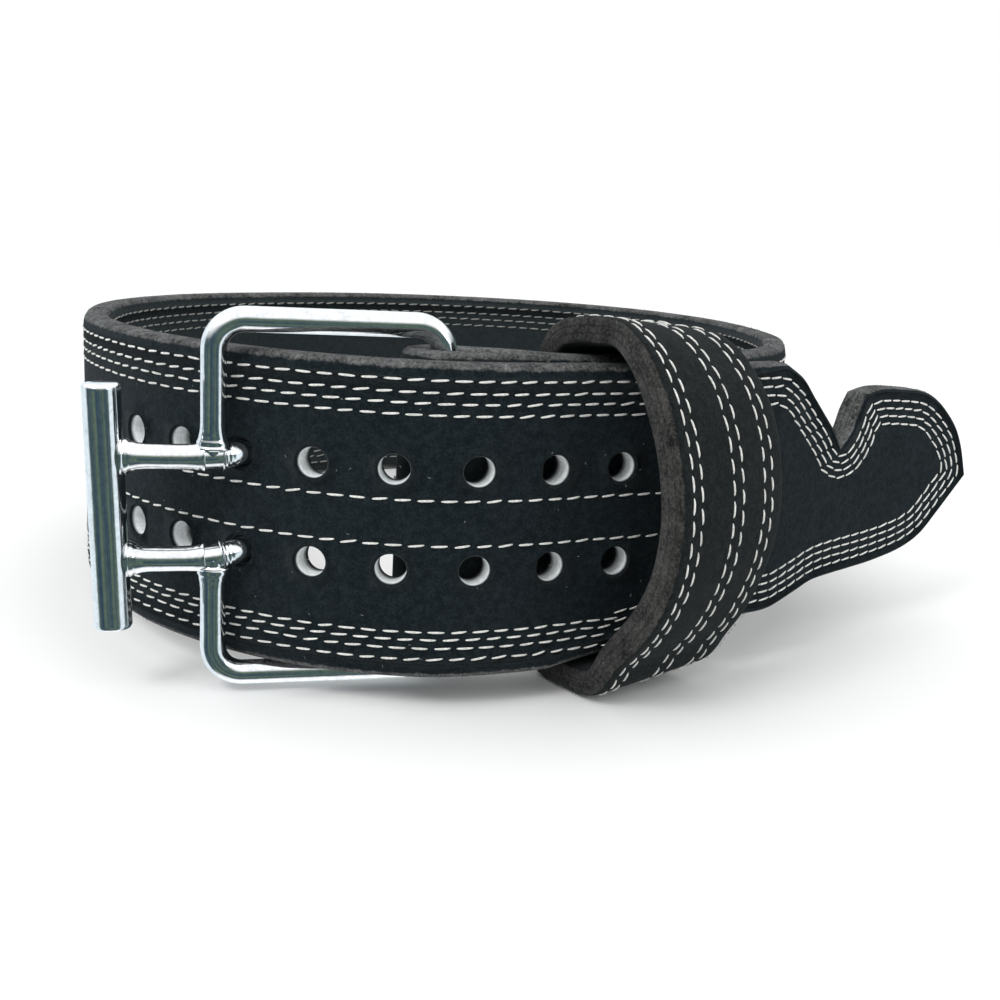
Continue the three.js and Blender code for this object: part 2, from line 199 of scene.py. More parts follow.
# The tip bows away from the waist past the start of the outer lap.
tip_length = 118.5
tip_start_direction = 45.0
tip_end_direction = 29.0
tip_steps = 60
tip_shares = (np.arange(tip_steps) + 0.5) / tip_steps
tip_directions = np.radians(
    tip_start_direction + (tip_end_direction - tip_start_direction) * tip_shares
)
tip_stride = tip_length / tip_steps
tip_strides = np.stack([np.cos(tip_directions), np.sin(tip_directions)], 1) * tip_stride
tip_line = outer_lap[0] + np.cumsum(tip_strides, axis=0)

course = np.vstack([tip_line[::-1], laps, fold, flap])
course_length = walked(course)[-1]
strap_end = course_length - tip_length
taper_start = strap_end - flap_length
rise_end = taper_start - (np.pi + flap_direction) * fold_radius


def on_strap(along, up, out):
    """Places on the strap: along it from the tip's start, up its width and out from its middle."""
    along = np.asarray(along, float)
    places = along_line(course, along + tip_length)
    go = heading(course, along + tip_length)
    taper = np.clip((along - taper_start) / flap_length, 0, 1)
    thin = 1 + (flap_end_thickness / strap_thickness - 1) * taper
    rising = np.clip((along - rise_end + rise_length) / rise_length, 0, 1)
    rise = inner_lap_rise * rising * rising * (3 - 2 * rising)
    x = places[:, 0] - go[:, 1] * out * thin
    y = places[:, 1] + go[:, 0] * out * thin
    return np.stack([x, y, up + rise], 1)


# Outline of the tip: along as a share of the tip's length, up as a share of the strap's width.
tip_top_rows = [
    (0.0, 1.0),
    (0.025, 0.986),
    (0.097, 0.944),
    (0.168, 0.872),
    (0.228, 0.81),
    (0.287, 0.746),
    (0.335, 0.674),
]
tip_hook_rows = [
    (0.335, 0.674),
    (0.38, 0.728),
    (0.405, 0.803),
    (0.438, 0.87),
]
tip_end_rows = [
    (0.438, 0.87),
    (0.515, 0.887),
    (0.64, 0.882),
    (0.75, 0.866),
    (0.815, 0.833),
    (0.868, 0.788),
    (0.925, 0.722),
    (0.966, 0.643),
    (1.006, 0.514),
]
tip_bottom_rows = [
    (1.006, 0.514),
    (0.958, 0.452),
    (0.885, 0.36),
    (0.812, 0.278),
    (0.725, 0.23),
    (0.586, 0.196),
    (0.444, 0.18),
    (0.346, 0.173),
    (0.251, 0.163),
    (0.165, 0.135),
    (0.035, 0.101),
    (-0.1, 0.096),
    (-0.28, 0.086),
    (-0.48, 0.05),
    (-0.66, 0.02),
    (-0.76, 0.0),
]
outline_step = 2.0


def tip_stretch(rows):
    """Part of the tip's outline as flat places, evenly stepped."""
    flat = np.array([(-along * tip_length, up * strap_width) for along, up in rows])
    line = smooth_line(flat)
    count = max(2, round(walked(line)[-1] / outline_step))
    return along_line(line, np.linspace(0, walked(line)[-1], count + 1))[:-1]


def level(start, stop, up, step=3.0):
    """Straight stretch of the outline at one height."""
    count = round(abs(stop - start) / step)
    along = np.linspace(start, stop, count + 1)[:-1]
    return np.stack([along, np.full(count, up)], 1)


tip_outline = np.vstack([
    tip_stretch(tip_top_rows),
    tip_stretch(tip_hook_rows),
    tip_stretch(tip_end_rows),
    tip_stretch(tip_bottom_rows),
])
narrowing_end = -tip_bottom_rows[-1][0] * tip_length
end_ups = np.linspace(0, strap_width, 33)[:-1]
end_edge = np.stack([np.full(len(end_ups), strap_end), end_ups], 1)
outline = np.vstack([
    level(strap_end, 0.0, strap_width),
    tip_outline,
    level(narrowing_end, strap_end, 0.0),
    end_edge,
])


def inwards(loop):
    """For each corner of a closed flat outline, the way that moves its edges in by one."""
    before = loop - np.roll(loop, 1, axis=0)
    after = np.roll(loop, -1, axis=0) - loop
    before = before / np.linalg.norm(before, axis=1, keepdims=True)
    after = after / np.linalg.norm(after, axis=1, keepdims=True)
    sideways = before + after
    sideways = np.stack([-sideways[:, 1], sideways[:, 0]], 1)
    sideways = sideways / np.maximum(np.linalg.norm(sideways, axis=1, keepdims=True), 1e-6)
    square = np.stack([-before[:, 1], before[:, 0]], 1)
    spread = np.clip((sideways * square).sum(1), 0.6, 1)
    return sideways / spread[:, None]


# Rounding of the cut edge: how far in from the outline, how far out as a share of half of the
# thickness. The tip's edges are cut sharper than the strap's, and soften along the first stretch.
edge_rounding = [
    (5.0, 1.0),
    (3.2, 0.975),
    (1.8, 0.9),
    (0.8, 0.78),
    (0.2, 0.62),
    (0.0, 0.4),
    (0.0, 0.0),
]
tip_sharpness = 0.3
sharp_until = -5.0
soft_from = 30.0

# Each face of the strap is meshed on a grid that keeps clear of its outline and of the holes.
grid_step = 4.0
grid_rows = 13
clear_of_outline = 1.8
clear_of_holes = 2.4

# How far in from the outline the cut shows, how strongly, and how far raw leather shows round a
# hole's rim on the strap's faces.
cut_reach = 3.6
cut_strength = 1.35
rim_reach = 2.2
rim_strength = 0.3

hole_diameter = 9.6
hole_pitch = 24.8
upper_hole_row = 67.0
lower_hole_row = 35.5
hole_corners = 32
hole_rounding = [
    (-0.9, 1.0),
    (-0.4, 0.95),
    (0.0, 0.84),
    (0.0, 0.4),
    (0.0, 0.0),
]

buckle_length = 71.7
buckle_slant = math.radians(14.8)
buckle_along = -np.array([math.cos(buckle_slant), math.sin(buckle_slant)])
buckle_end = hinge + buckle_along * buckle_length
prong_lead = 9.5
prong_along = walk_to(buckle_end[0] + prong_lead)

holes_to_tip = 5
holes_to_back = 2
hole_centres = [
    (prong_along + k * hole_pitch, row)
    for k in range(-holes_to_tip, holes_to_back + 1)
    for row in (upper_hole_row, lower_hole_row)
]
# The two holes that hold the prongs show little raw leather: their walls and rims keep the suede's dark
# colour as painted shade round the prongs. The others show pale raw leather.
hole_rawness_and_shade = [0.2 if abs(along - prong_along) < 1 else 1.0 for along, row in hole_centres]


def hole_loop(centre, radius):
    """Corners of a hole's rim, the other way round from the outline."""
    turn = -2 * np.pi * np.arange(hole_corners) / hole_corners
    return np.array(centre) + radius * np.stack([np.cos(turn), np.sin(turn)], 1)


def inside(places, loop):
    """Which flat places lie inside a closed outline."""
    x, y = places[:, :1], places[:, 1:]
    ax, ay = loop[:, 0], loop[:, 1]
    bx, by = np.roll(ax, -1), np.roll(ay, -1)
    crosses = (ay > y) != (by > y)
    flat = np.where(by == ay, 1e-9, by - ay)
    left = x < (bx - ax) * (y - ay) / flat + ax
    return (crosses & left).sum(1) % 2 == 1


def make_strap_mesh():
    """The strap's corners, faces and marks: cut edge, hole wall and place across its thickness."""
    softness = np.clip((outline[:, 0] - sharp_until) / (soft_from - sharp_until), 0, 1)
    softness = tip_sharpness + (1 - tip_sharpness) * softness
    inward = inwards(outline)
    face_loop = outline + inward * (edge_rounding[0][0] * softness)[:, None]
    hole_radius = hole_diameter / 2
    rims = [hole_loop(c, hole_radius - hole_rounding[0][0]) for c in hole_centres]

    grid_along = np.arange(-tip_length, strap_end, grid_step)
    grid_up = np.linspace(grid_step, strap_width - grid_step, grid_rows)
    grid = np.stack(np.meshgrid(grid_along, grid_up), -1).reshape(-1, 2)
    grid = grid[inside(grid, face_loop)]
    for centre in hole_centres:
        grid = grid[np.linalg.norm(grid - np.array(centre), axis=1) > hole_radius + clear_of_holes]
    keep = [np.linalg.norm(face_loop - g, axis=1).min() > clear_of_outline for g in grid]
    grid = grid[keep]

    flat = np.vstack([face_loop, *rims, grid])
    edges = []
    start = 0
    for loop in [face_loop, *rims]:
        count = len(loop)
        edges += [(start + k, start + (k + 1) % count) for k in range(count)]
        start += count
    made = delaunay_2d_cdt([Vector(p) for p in flat], edges, [], 0, 1e-5)
    flat = np.array([tuple(p) for p in made[0]])
    faces = np.array(made[2])
    middles = flat[faces].mean(1)
    keep = inside(middles, face_loop)
    for rim in rims:
        keep &= ~inside(middles, rim)
    faces = faces[keep]
    corners = flat[faces]
    turn = np.cross(corners[:, 1] - corners[:, 0], corners[:, 2] - corners[:, 0])
    faces = np.where(turn[:, None] > 0, faces, faces[:, ::-1])

    half = strap_thickness / 2
    places, cut, hole, across, quads = [], [], [], [], []
    total = 0

    def add(flat_places, out, cut_mark, hole_mark):
        nonlocal total
        places.append(on_strap(flat_places[:, 0], flat_places[:, 1], out))
        count = len(flat_places)
        cut.append(np.broadcast_to(cut_mark, count))
        hole.append(np.broadcast_to(hole_mark, count))
        across.append(np.full(count, out))
        total += count
        return total - count

    near_rim = np.zeros(len(flat))
    for centre, rawness_with_shade in zip(hole_centres, hole_rawness_and_shade):
        away = np.linalg.norm(flat - np.array(centre), axis=1) - hole_radius
        near_rim = np.maximum(near_rim, np.clip(1 - away / rim_reach, 0, 1) * rim_strength * rawness_with_shade)
    front = add(flat, half, 0.0, near_rim)
    back = add(flat, -half, 0.0, near_rim)
    # Towards the front the outline runs with the outside on its right, so the front face turns.
    triangles = [faces[:, ::-1] + front, faces + back]

    def band(loop_places, first, last, mark):
        """Rings of a rim from the front sheet to the back one, joined with four-sided faces."""
        count = len(loop_places[0][0])
        rings = [add(flat_places, out, *mark(k)) for k, (flat_places, out) in enumerate(loop_places)]
        turn_on = (np.arange(count) + 1) % count
        for a, b in zip([first, *rings], [*rings, last]):
            near = a + np.arange(count) if np.isscalar(a) else a
            far = b + np.arange(count) if np.isscalar(b) else b
            quads.append(np.stack([near, far, far[turn_on], near[turn_on]], 1))

    def sheet_ids(loop, offset):
        """Numbers of the sheet's corners that lie on a loop, in the loop's order."""
        return np.array([np.argmin(((flat - p) ** 2).sum(1)) for p in loop]) + offset

    both_sides = [(depth, share) for depth, share in edge_rounding[1:]]
    both_sides += [(depth, -share) for depth, share in edge_rounding[-2:0:-1]]
    rim_rings = [
        (outline + inward * (depth * softness)[:, None], half * share)
        for depth, share in both_sides
    ]
    cut_marks = [min(1.0, cut_strength * (1 - depth / cut_reach)) for depth, share in both_sides]
    cut_marks = [max(0.0, mark) for mark in cut_marks]
    band(
        rim_rings,
        sheet_ids(face_loop, front),
        sheet_ids(face_loop, back),
        lambda k: (cut_marks[k], 0.0),
    )
    hole_sides = [(depth, share) for depth, share in hole_rounding[1:]]
    hole_sides += [(depth, -share) for depth, share in hole_rounding[-2:0:-1]]
    for centre, rim, rawness_with_shade in zip(hole_centres, rims, hole_rawness_and_shade):
        rings = [(hole_loop(centre, hole_radius - depth), half * share) for depth, share in hole_sides]
        band(rings, sheet_ids(rim, front), sheet_ids(rim, back), lambda k: (0.0, rawness_with_shade))
    return (
        np.vstack(places),
        np.vstack(triangles),
        np.vstack(quads),
        {
            "cut": np.concatenate(cut),
            "hole": np.concatenate(hole),
            "across": np.concatenate(across) * 0.001,
        },
    )


# Thread and fibres under the belt are pressed flat, in metres above the floor.
pressed_height = 0.0001


def new_piece(name, places, face_lists, marks=None):
    """A smooth-shaded piece from corners in millimetres in the belt's frame."""
    mesh = bpy.data.meshes.new(name)
    placed = to_frame(places)
    placed[:, 2] = np.maximum(placed[:, 2], pressed_height)
    faces = [list(map(int, face)) for group in face_lists for face in group]
    mesh.from_pydata(placed.tolist(), [], faces)
    for mark, values in (marks or {}).items():
        attribute = mesh.attributes.new(mark, "FLOAT", "POINT")
        attribute.data.foreach_set("value", np.asarray(values, np.float32))
    mesh.polygons.foreach_set("use_smooth", np.ones(len(mesh.polygons), bool))
    mesh.update()
    piece = bpy.data.objects.new(name, mesh)
    bpy.context.scene.collection.objects.link(piece)
    return piece


strap_places, strap_triangles, strap_quads, strap_marks = make_strap_mesh()

# The belt leans back from the keeper's lower wall in front to the strap's lower edge behind.
keeper_thickness = 9.0
keeper_clearance = 0.9
keeper_y = along_line(outer_line, [walk_to(keeper_x)])[0, 1]
lean = math.atan2(-keeper_clearance - keeper_thickness, outer_line[:, 1].max() - keeper_y)
lean_turn = np.array(Matrix.Rotation(lean, 3, "X"))
strap_low, strap_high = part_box("strap")
leaning = strap_places @ lean_turn.T * 0.001
frame_shift = (np.array(strap_low) + np.array(strap_high) - leaning.min(0) - leaning.max(0)) / 2


def to_frame(places):
    """From millimetres in the belt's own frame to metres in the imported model's frame."""
    return np.asarray(places) @ lean_turn.T * 0.001 + frame_shift


strap = new_piece("strap_leather", strap_places, [strap_triangles, strap_quads], strap_marks)


# The suede of the strap and the keeper: the nap of split leather, short fibres that lie in
# drifts, with a dull sheen. Where it is cut, its glued plies and their fur show.


def new_group(name, inputs, outputs):
    """An empty node group with its sockets, and the nodes that stand for them."""
    group = bpy.data.node_groups.new(name, "ShaderNodeTree")
    for socket, kind, value in inputs:
        made = group.interface.new_socket(socket, in_out="INPUT", socket_type=kind)
        made.default_value = value
    for socket, kind in outputs:
        group.interface.new_socket(socket, in_out="OUTPUT", socket_type=kind)
    return group, group.nodes.new("NodeGroupInput"), group.nodes.new("NodeGroupOutput")


def noise(tree, coordinates, scale, detail=4.0, roughness=0.6):
    """A noise texture on the given coordinates."""
    node = tree.nodes.new("ShaderNodeTexNoise")
    node.inputs["Scale"].default_value = scale
    node.inputs["Detail"].default_value = detail
    node.inputs["Roughness"].default_value = roughness
    tree.links.new(coordinates, node.inputs["Vector"])
    return node.outputs["Fac"]


def maths(tree, operation, first, second=0.0):
    """A maths node whose inputs are sockets or plain numbers."""
    node = tree.nodes.new("ShaderNodeMath")
    node.operation = operation
    for socket, value in zip(node.inputs, (first, second)):
        if isinstance(value, (int, float)):
            socket.default_value = value
        else:
            tree.links.new(value, socket)
    return node.outputs[0]


def spread(tree, value, low, high, new_low=0.0, new_high=1.0):
    """Maps a value from one range to another and holds it at the ends."""
    node = tree.nodes.new("ShaderNodeMapRange")
    node.inputs["From Min"].default_value = low
    node.inputs["From Max"].default_value = high
    node.inputs["To Min"].default_value = new_low
    node.inputs["To Max"].default_value = new_high
    tree.links.new(value, node.inputs["Value"])
    return node.outputs["Result"]


def mixed(tree, share, first, second):
    """Mixes two colours, each a socket or a plain colour, by a share."""
    node = tree.nodes.new("ShaderNodeMix")
    node.data_type = "RGBA"
    share_socket, first_socket, second_socket = (
        node.inputs["Factor"],
        [s for s in node.inputs if s.name == "A" and s.type == "RGBA"][0],
        [s for s in node.inputs if s.name == "B" and s.type == "RGBA"][0],
    )
    for socket, value in ((share_socket, share), (first_socket, first), (second_socket, second)):
        if isinstance(value, (int, float, tuple)):
            socket.default_value = value
        else:
            tree.links.new(value, socket)
    return [s for s in node.outputs if s.type == "RGBA"][0]


def mark_value(tree, name):
    """The value of a mark that a piece's mesh carries."""
    node = tree.nodes.new("ShaderNodeAttribute")
    node.attribute_name = name
    return node.outputs["Fac"]


# How fine the nap's fibres, tufts and drifts are, in features a metre, and what they add where
# they catch the light.
nap_fibre_scale = 1500
nap_tuft_scale = 420
nap_drift_scale = 45
nap_light = (0.011, 0.0135, 0.0145, 1)


def make_suede_nap():
    """Colour and height of suede: fine fibres over broad drifts of lying nap."""
    group, given, result = new_group(
        "suede nap",
        [("Shade", "NodeSocketColor", (0.01, 0.011, 0.012, 1)), ("Drift", "NodeSocketFloat", 1.0)],
        [("Color", "NodeSocketColor"), ("Height", "NodeSocketFloat")],
    )
    where = group.nodes.new("ShaderNodeTexCoord").outputs["Object"]
    fibres = noise(group, where, nap_fibre_scale, 3.0, 0.7)
    tufts = noise(group, where, nap_tuft_scale, 3.0, 0.6)
    drifts = noise(group, where, nap_drift_scale, 3.0, 0.55)
    grain = maths(group, "ADD", maths(group, "MULTIPLY", fibres, 0.6), maths(group, "MULTIPLY", tufts, 0.4))
    light = spread(group, grain, 0.44, 0.6)
    drift = maths(group, "MULTIPLY", spread(group, drifts, 0.35, 0.7, 0.0, 0.5), given.outputs["Drift"])
    pale = group.nodes.new("ShaderNodeMix")
    pale.data_type = "RGBA"
    pale.blend_type = "ADD"
    pale.inputs["Factor"].default_value = 1.0
    colours = [s for s in pale.inputs if s.type == "RGBA"]
    group.links.new(given.outputs["Shade"], colours[0])
    colours[1].default_value = nap_light
    paled = [s for s in pale.outputs if s.type == "RGBA"][0]
    amount = maths(group, "ADD", maths(group, "MULTIPLY", light, 0.85), maths(group, "MULTIPLY", drift, 0.4))
    group.links.new(mixed(group, amount, given.outputs["Shade"], paled), result.inputs["Color"])
    group.links.new(grain, result.inputs["Height"])
    return group


# The fur, patches and bright specks of a cut edge, in features a metre; the bright specks are painted glints
# of highlight. Its glue seams lie this far from the strap's middle and are this wide, and they wander with
# the patches, in metres.
cut_fur_scale = 900
cut_patch_scale = 110
cut_glint_scale = 1300
seam_depth = 0.0012
seam_width = 0.0004
seam_wander = 0.0009


def make_cut_leather():
    """Colour and height of a cut edge: pressed plies seen end on, rubbed and slightly furry, with painted
    glints.
    """
    group, given, result = new_group(
        "cut leather",
        [("Shade", "NodeSocketColor", (0.07, 0.062, 0.055, 1))],
        [("Color", "NodeSocketColor"), ("Height", "NodeSocketFloat")],
    )
    where = group.nodes.new("ShaderNodeTexCoord").outputs["Object"]
    fur = noise(group, where, cut_fur_scale, 4.0, 0.7)
    patches = noise(group, where, cut_patch_scale, 4.0, 0.6)
    across = mark_value(group, "across")
    wander = maths(group, "MULTIPLY", maths(group, "SUBTRACT", patches, 0.5), seam_wander)
    layer = maths(group, "ABSOLUTE", maths(group, "ADD", across, wander))
    from_seam = maths(group, "ABSOLUTE", maths(group, "SUBTRACT", layer, seam_depth))
    seam = spread(group, from_seam, 0.0, seam_width, 0.55, 1.0)
    tone = maths(group, "ADD", maths(group, "MULTIPLY", fur, 0.7), maths(group, "MULTIPLY", patches, 0.55))
    # Painted highlight: bright specks added to the edge's colour stand in for glints.
    painted_glint = spread(group, noise(group, where, cut_glint_scale, 2.0, 0.6), 0.62, 0.7, 0.0, 1.6)
    tone = maths(group, "MULTIPLY", spread(group, tone, 0.48, 0.78, 0.2, 2.0), seam)
    tone = maths(group, "ADD", tone, painted_glint)
    scaled = group.nodes.new("ShaderNodeVectorMath")
    scaled.operation = "SCALE"
    group.links.new(given.outputs["Shade"], scaled.inputs[0])
    group.links.new(tone, scaled.inputs["Scale"])
    group.links.new(scaled.outputs["Vector"], result.inputs["Color"])
    group.links.new(maths(group, "ADD", fur, maths(group, "MULTIPLY", seam, 0.6)), result.inputs["Height"])
    return group


suede_nap = make_suede_nap()
cut_leather = make_cut_leather()


def placed_group(tree, group, shade):
    """A node group placed in a material with its own shade."""
    node = tree.nodes.new("ShaderNodeGroup")
    node.node_tree = group
    node.inputs["Shade"].default_value = shade
    return node


def new_material(name, roughness):
    """A material with its Principled shader, and that shader's tree."""
    material = bpy.data.materials.new(name)
    material.use_nodes = True
    tree = material.node_tree
    shader = tree.nodes["Principled BSDF"]
    shader.inputs["Roughness"].default_value = roughness
    return material, tree, shader


def bump(tree, shader, height, distance, strength=1.0):
    """Raises a shader's surface by a height, in metres at full height."""
    node = tree.nodes.new("ShaderNodeBump")
    node.inputs["Distance"].default_value = distance
    node.inputs["Strength"].default_value = strength
    tree.links.new(height, node.inputs["Height"])
    tree.links.new(node.outputs["Normal"], shader.inputs["Normal"])


# Raw leather shows in a hole between these places across the strap, in metres from its middle. It fades in
# from the inner side, where the hole's deep part is left in the suede's dark colour as painted shade, and it
# ends short of the outer face.
depth_shade_fade = (-0.003, -0.0005)
raw_ends = (0.0044, 0.0034)
raw_dark = (0.66, 0.7, 0.71, 1)
raw_pale = (0.96, 0.98, 0.98, 1)
# The strap's inner face is painted lighter and greyer from this place across it. This is painted light,
# standing in for light that reaches the inside of the ring.
painted_light_face = (-0.0044, -0.0049)
painted_light_strength = 0.8
painted_light_tone = (0.02, 0.026, 0.028, 1)
sheen_tint = (0.75, 0.85, 0.9, 1)


def make_leather(name, shade, edge_shade, with_holes):
    """Suede with a cut edge where the mesh marks one, and pale raw leather in punched holes."""
    material, tree, shader = new_material(name, 0.95)
    nap = placed_group(tree, suede_nap, shade)
    edge = placed_group(tree, cut_leather, edge_shade)
    where = tree.nodes.new("ShaderNodeTexCoord").outputs["Object"]
    ragged = maths(tree, "MULTIPLY", maths(tree, "SUBTRACT", noise(tree, where, 260, 4.0, 0.7), 0.5), 0.9)
    cut = spread(tree, maths(tree, "ADD", mark_value(tree, "cut"), ragged), 0.55, 0.8)
    colour = mixed(tree, cut, nap.outputs["Color"], edge.outputs["Color"])
    if with_holes:
        across = mark_value(tree, "across")
        # Painted light: the inner face's suede is lightened to stand in for light that falls inside the
        # ring.
        painted_light_nap = placed_group(tree, suede_nap, painted_light_tone)
        painted_light_share = maths(tree, "MULTIPLY", spread(tree, across, *painted_light_face), painted_light_strength)
        painted_light_share = maths(tree, "MULTIPLY", painted_light_share, maths(tree, "SUBTRACT", 1.0, cut))
        colour = mixed(tree, painted_light_share, colour, painted_light_nap.outputs["Color"])
        raw = noise(tree, where, 700, 4.0, 0.7)
        raw_tone = mixed(tree, spread(tree, raw, 0.3, 0.7), raw_dark, raw_pale)
        in_hole = maths(tree, "ADD", mark_value(tree, "hole"), maths(tree, "MULTIPLY", ragged, 0.25))
        # Painted shade: towards the inner side, where the hole is deep, its wall keeps the suede's dark
        # colour.
        unshaded_from_inside = spread(tree, across, *depth_shade_fade)
        to_outside = spread(tree, across, *raw_ends)
        raw_unshaded_depth = maths(tree, "MULTIPLY", unshaded_from_inside, to_outside)
        raw_unshaded_share = maths(tree, "MULTIPLY", spread(tree, in_hole, 0.15, 0.8), raw_unshaded_depth)
        colour = mixed(tree, raw_unshaded_share, colour, raw_tone)
    tree.links.new(colour, shader.inputs["Base Color"])
    bump(tree, shader, maths(tree, "ADD", nap.outputs["Height"], edge.outputs["Height"]), 0.0005, 0.7)
    shader.inputs["Specular IOR Level"].default_value = 0.1
    shader.inputs["Sheen Weight"].default_value = 0.05
    shader.inputs["Sheen Roughness"].default_value = 0.5
    shader.inputs["Sheen Tint"].default_value = sheen_tint
    return material


strap_suede = make_leather(
    "strap suede",
    (0.0036, 0.0074, 0.0094, 1),
    (0.078, 0.079, 0.079, 1),
    with_holes=True,
)
strap.data.materials.append(strap_suede)
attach(strap, "root")
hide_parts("strap")


# The keeper: a wide band of two plies of suede closed to a ring round both laps. Its front
# bulges out, its two cut edges show, and three pairs of stitch rows run round it.

keeper_width = 47.0
keeper_start_direction = 36.5
keeper_end_direction = 53.0
keeper_front_start = 38.5
keeper_front_end = 22.6
keeper_rise = 10.7
keeper_slack = 2.8
keeper_swell = 2.0

# Middle line of the wall: out as a share of its front depth where positive and of the strap
# stack behind it where negative. Up runs from 0 at its lowest to 1 at its highest point, at the
# end towards the buckle and at the end towards the tip, where the wall is drawn in.
keeper_rows = np.array([
    (1.0, 0.538, 0.538),
    (0.935, 0.667, 0.655),
    (0.84, 0.757, 0.735),
    (0.68, 0.856, 0.81),
    (0.457, 0.944, 0.873),
    (0.173, 0.998, 0.932),
    (-0.1, 1.0, 0.962),
    (-0.45, 0.992, 0.967),
    (-0.8, 0.965, 0.972),
    (-1.0, 0.885, 0.9),
    (-1.03, 0.7, 0.7),
    (-1.04, 0.45, 0.45),
    (-1.03, 0.2, 0.2),
    (-0.98, 0.065, 0.067),
    (-0.68, 0.002, 0.005),
    (-0.3, 0.0, 0.022),
    (0.06, 0.004, 0.062),
    (0.205, 0.024, 0.087),
    (0.378, 0.106, 0.148),
    (0.642, 0.198, 0.236),
    (0.845, 0.3, 0.34),
    (0.958, 0.4, 0.43),
])
keeper_stack = 2 * strap_thickness + 2 * layer_gap + keeper_slack + keeper_thickness / 2
keeper_steps = 220


def keeper_front(share):
    """How far the wall's middle bulges out in front of the strap."""
    return keeper_front_start + (keeper_front_end - keeper_front_start) * share


def keeper_middle(share):
    """The wall's middle line, out and up, at a share of the keeper's width from its left end."""
    out, up, tip_up = keeper_rows.T
    front = keeper_front(share)
    low = -keeper_clearance - keeper_thickness / 2
    high = strap_width + keeper_rise
    up = low + (high - low) * (up + (tip_up - up) * share)
    rows = np.stack([out * np.where(out > 0, front, keeper_stack), up], 1)
    line = smooth_line(rows, closed=True)
    line = np.vstack([line, line[:1]])
    return along_line(line, np.linspace(0, walked(line)[-1], keeper_steps + 1)[:-1])


def keeper_ring(share, proud):
    """One ring of the keeper, proud of the wall's middle line, in the belt's frame."""
    middle = keeper_middle(share)
    go = np.roll(middle, -1, axis=0) - np.roll(middle, 1, axis=0)
    go = go / np.linalg.norm(go, axis=1, keepdims=True)
    swell = np.clip((middle[:, 0] / keeper_front(share) - 0.1) / 0.6, 0, 1)
    swell = keeper_swell * swell * swell * (3 - 2 * swell)
    proud = proud + np.minimum(proud, 0) / (keeper_thickness / 2) * swell
    out = middle[:, 0] + go[:, 1] * proud
    up = middle[:, 1] - go[:, 0] * proud
    distance = walk_to(keeper_x) - keeper_width * share
    place = along_line(outer_line, [distance])[0]
    ahead = heading(outer_line, [distance])[0]
    face = place + np.array([-ahead[1], ahead[0]]) * strap_thickness / 2
    turn = keeper_start_direction + (keeper_end_direction - keeper_start_direction) * share
    outward = np.array([math.sin(math.radians(turn)), -math.cos(math.radians(turn))])
    plan = face + out[:, None] * outward
    return np.column_stack([plan, up])


# Section of the keeper's wall, once round: share of the width, proud of the middle as a share of
# half of the thickness, and how much of it is cut edge. The edges are trimmed square and rubbed.
edge_trim = 1.6 / keeper_width
keeper_section = [(share, 1.0, 0.0) for share in np.linspace(0.07, 0.93, 15)]
keeper_section += [
    (1 - edge_trim, 0.97, 0.15),
    (1 - edge_trim * 0.35, 0.88, 0.7),
    (1.0, 0.7, 1.0),
    (1.0, 0.25, 1.0),
    (1.0, -0.25, 1.0),
    (1.0, -0.7, 1.0),
    (1 - edge_trim * 0.35, -0.88, 0.7),
    (1 - edge_trim, -0.97, 0.15),
]
keeper_section += [(share, -1.0, 0.0) for share in np.linspace(0.93, 0.07, 9)]
keeper_section += [
    (edge_trim, -0.97, 0.15),
    (edge_trim * 0.35, -0.88, 0.7),
    (0.0, -0.7, 1.0),
    (0.0, -0.25, 1.0),
    (0.0, 0.25, 1.0),
    (0.0, 0.7, 1.0),
    (edge_trim * 0.35, 0.88, 0.7),
    (edge_trim, 0.97, 0.15),
]

keeper_rings = [keeper_ring(share, proud * keeper_thickness / 2) for share, proud, cut in keeper_section]
ring_count = len(keeper_rings)
around = np.arange(keeper_steps)
keeper_quads = []
for k in range(ring_count):
    here = k * keeper_steps + around
    next_ring = (k + 1) % ring_count * keeper_steps
    keeper_quads.append(np.stack([
        here,
        next_ring + around,
        next_ring + (around + 1) % keeper_steps,
        k * keeper_steps + (around + 1) % keeper_steps,
    ], 1))
keeper_marks = {
    "cut": np.repeat([cut for share, proud, cut in keeper_section], keeper_steps),
    "across": np.repeat([proud for share, proud, cut in keeper_section], keeper_steps)
    * (keeper_thickness / 2 * 0.001),
}
keeper = new_piece("keeper_leather", np.vstack(keeper_rings), keeper_quads, keeper_marks)
keeper_suede = make_leather(
    "keeper suede",
    (0.0034, 0.0046, 0.0046, 1),
    (0.034, 0.0335, 0.032, 1),
    with_holes=False,
)
keeper.data.materials.append(keeper_suede)
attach(keeper, "root")
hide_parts("keeper_loop")


# The stitching: white waxed thread in lockstitch. Four rows run along each edge of the strap and
# round the tip, two along its middle, and three pairs round the keeper. Each stitch is a short
# arch of thread whose ends dive into the leather.

stitch_pitch = 6.7
stitch_share = 0.79
thread_radius = 0.34
stitch_rings = 7
stitch_sides = 6
stitch_lean = 4.0
stitch_lean_spread = 3.0
stitch_length_range = (0.93, 1.07)
stitch_height_range = (0.9, 1.1)
thread_seed = 7


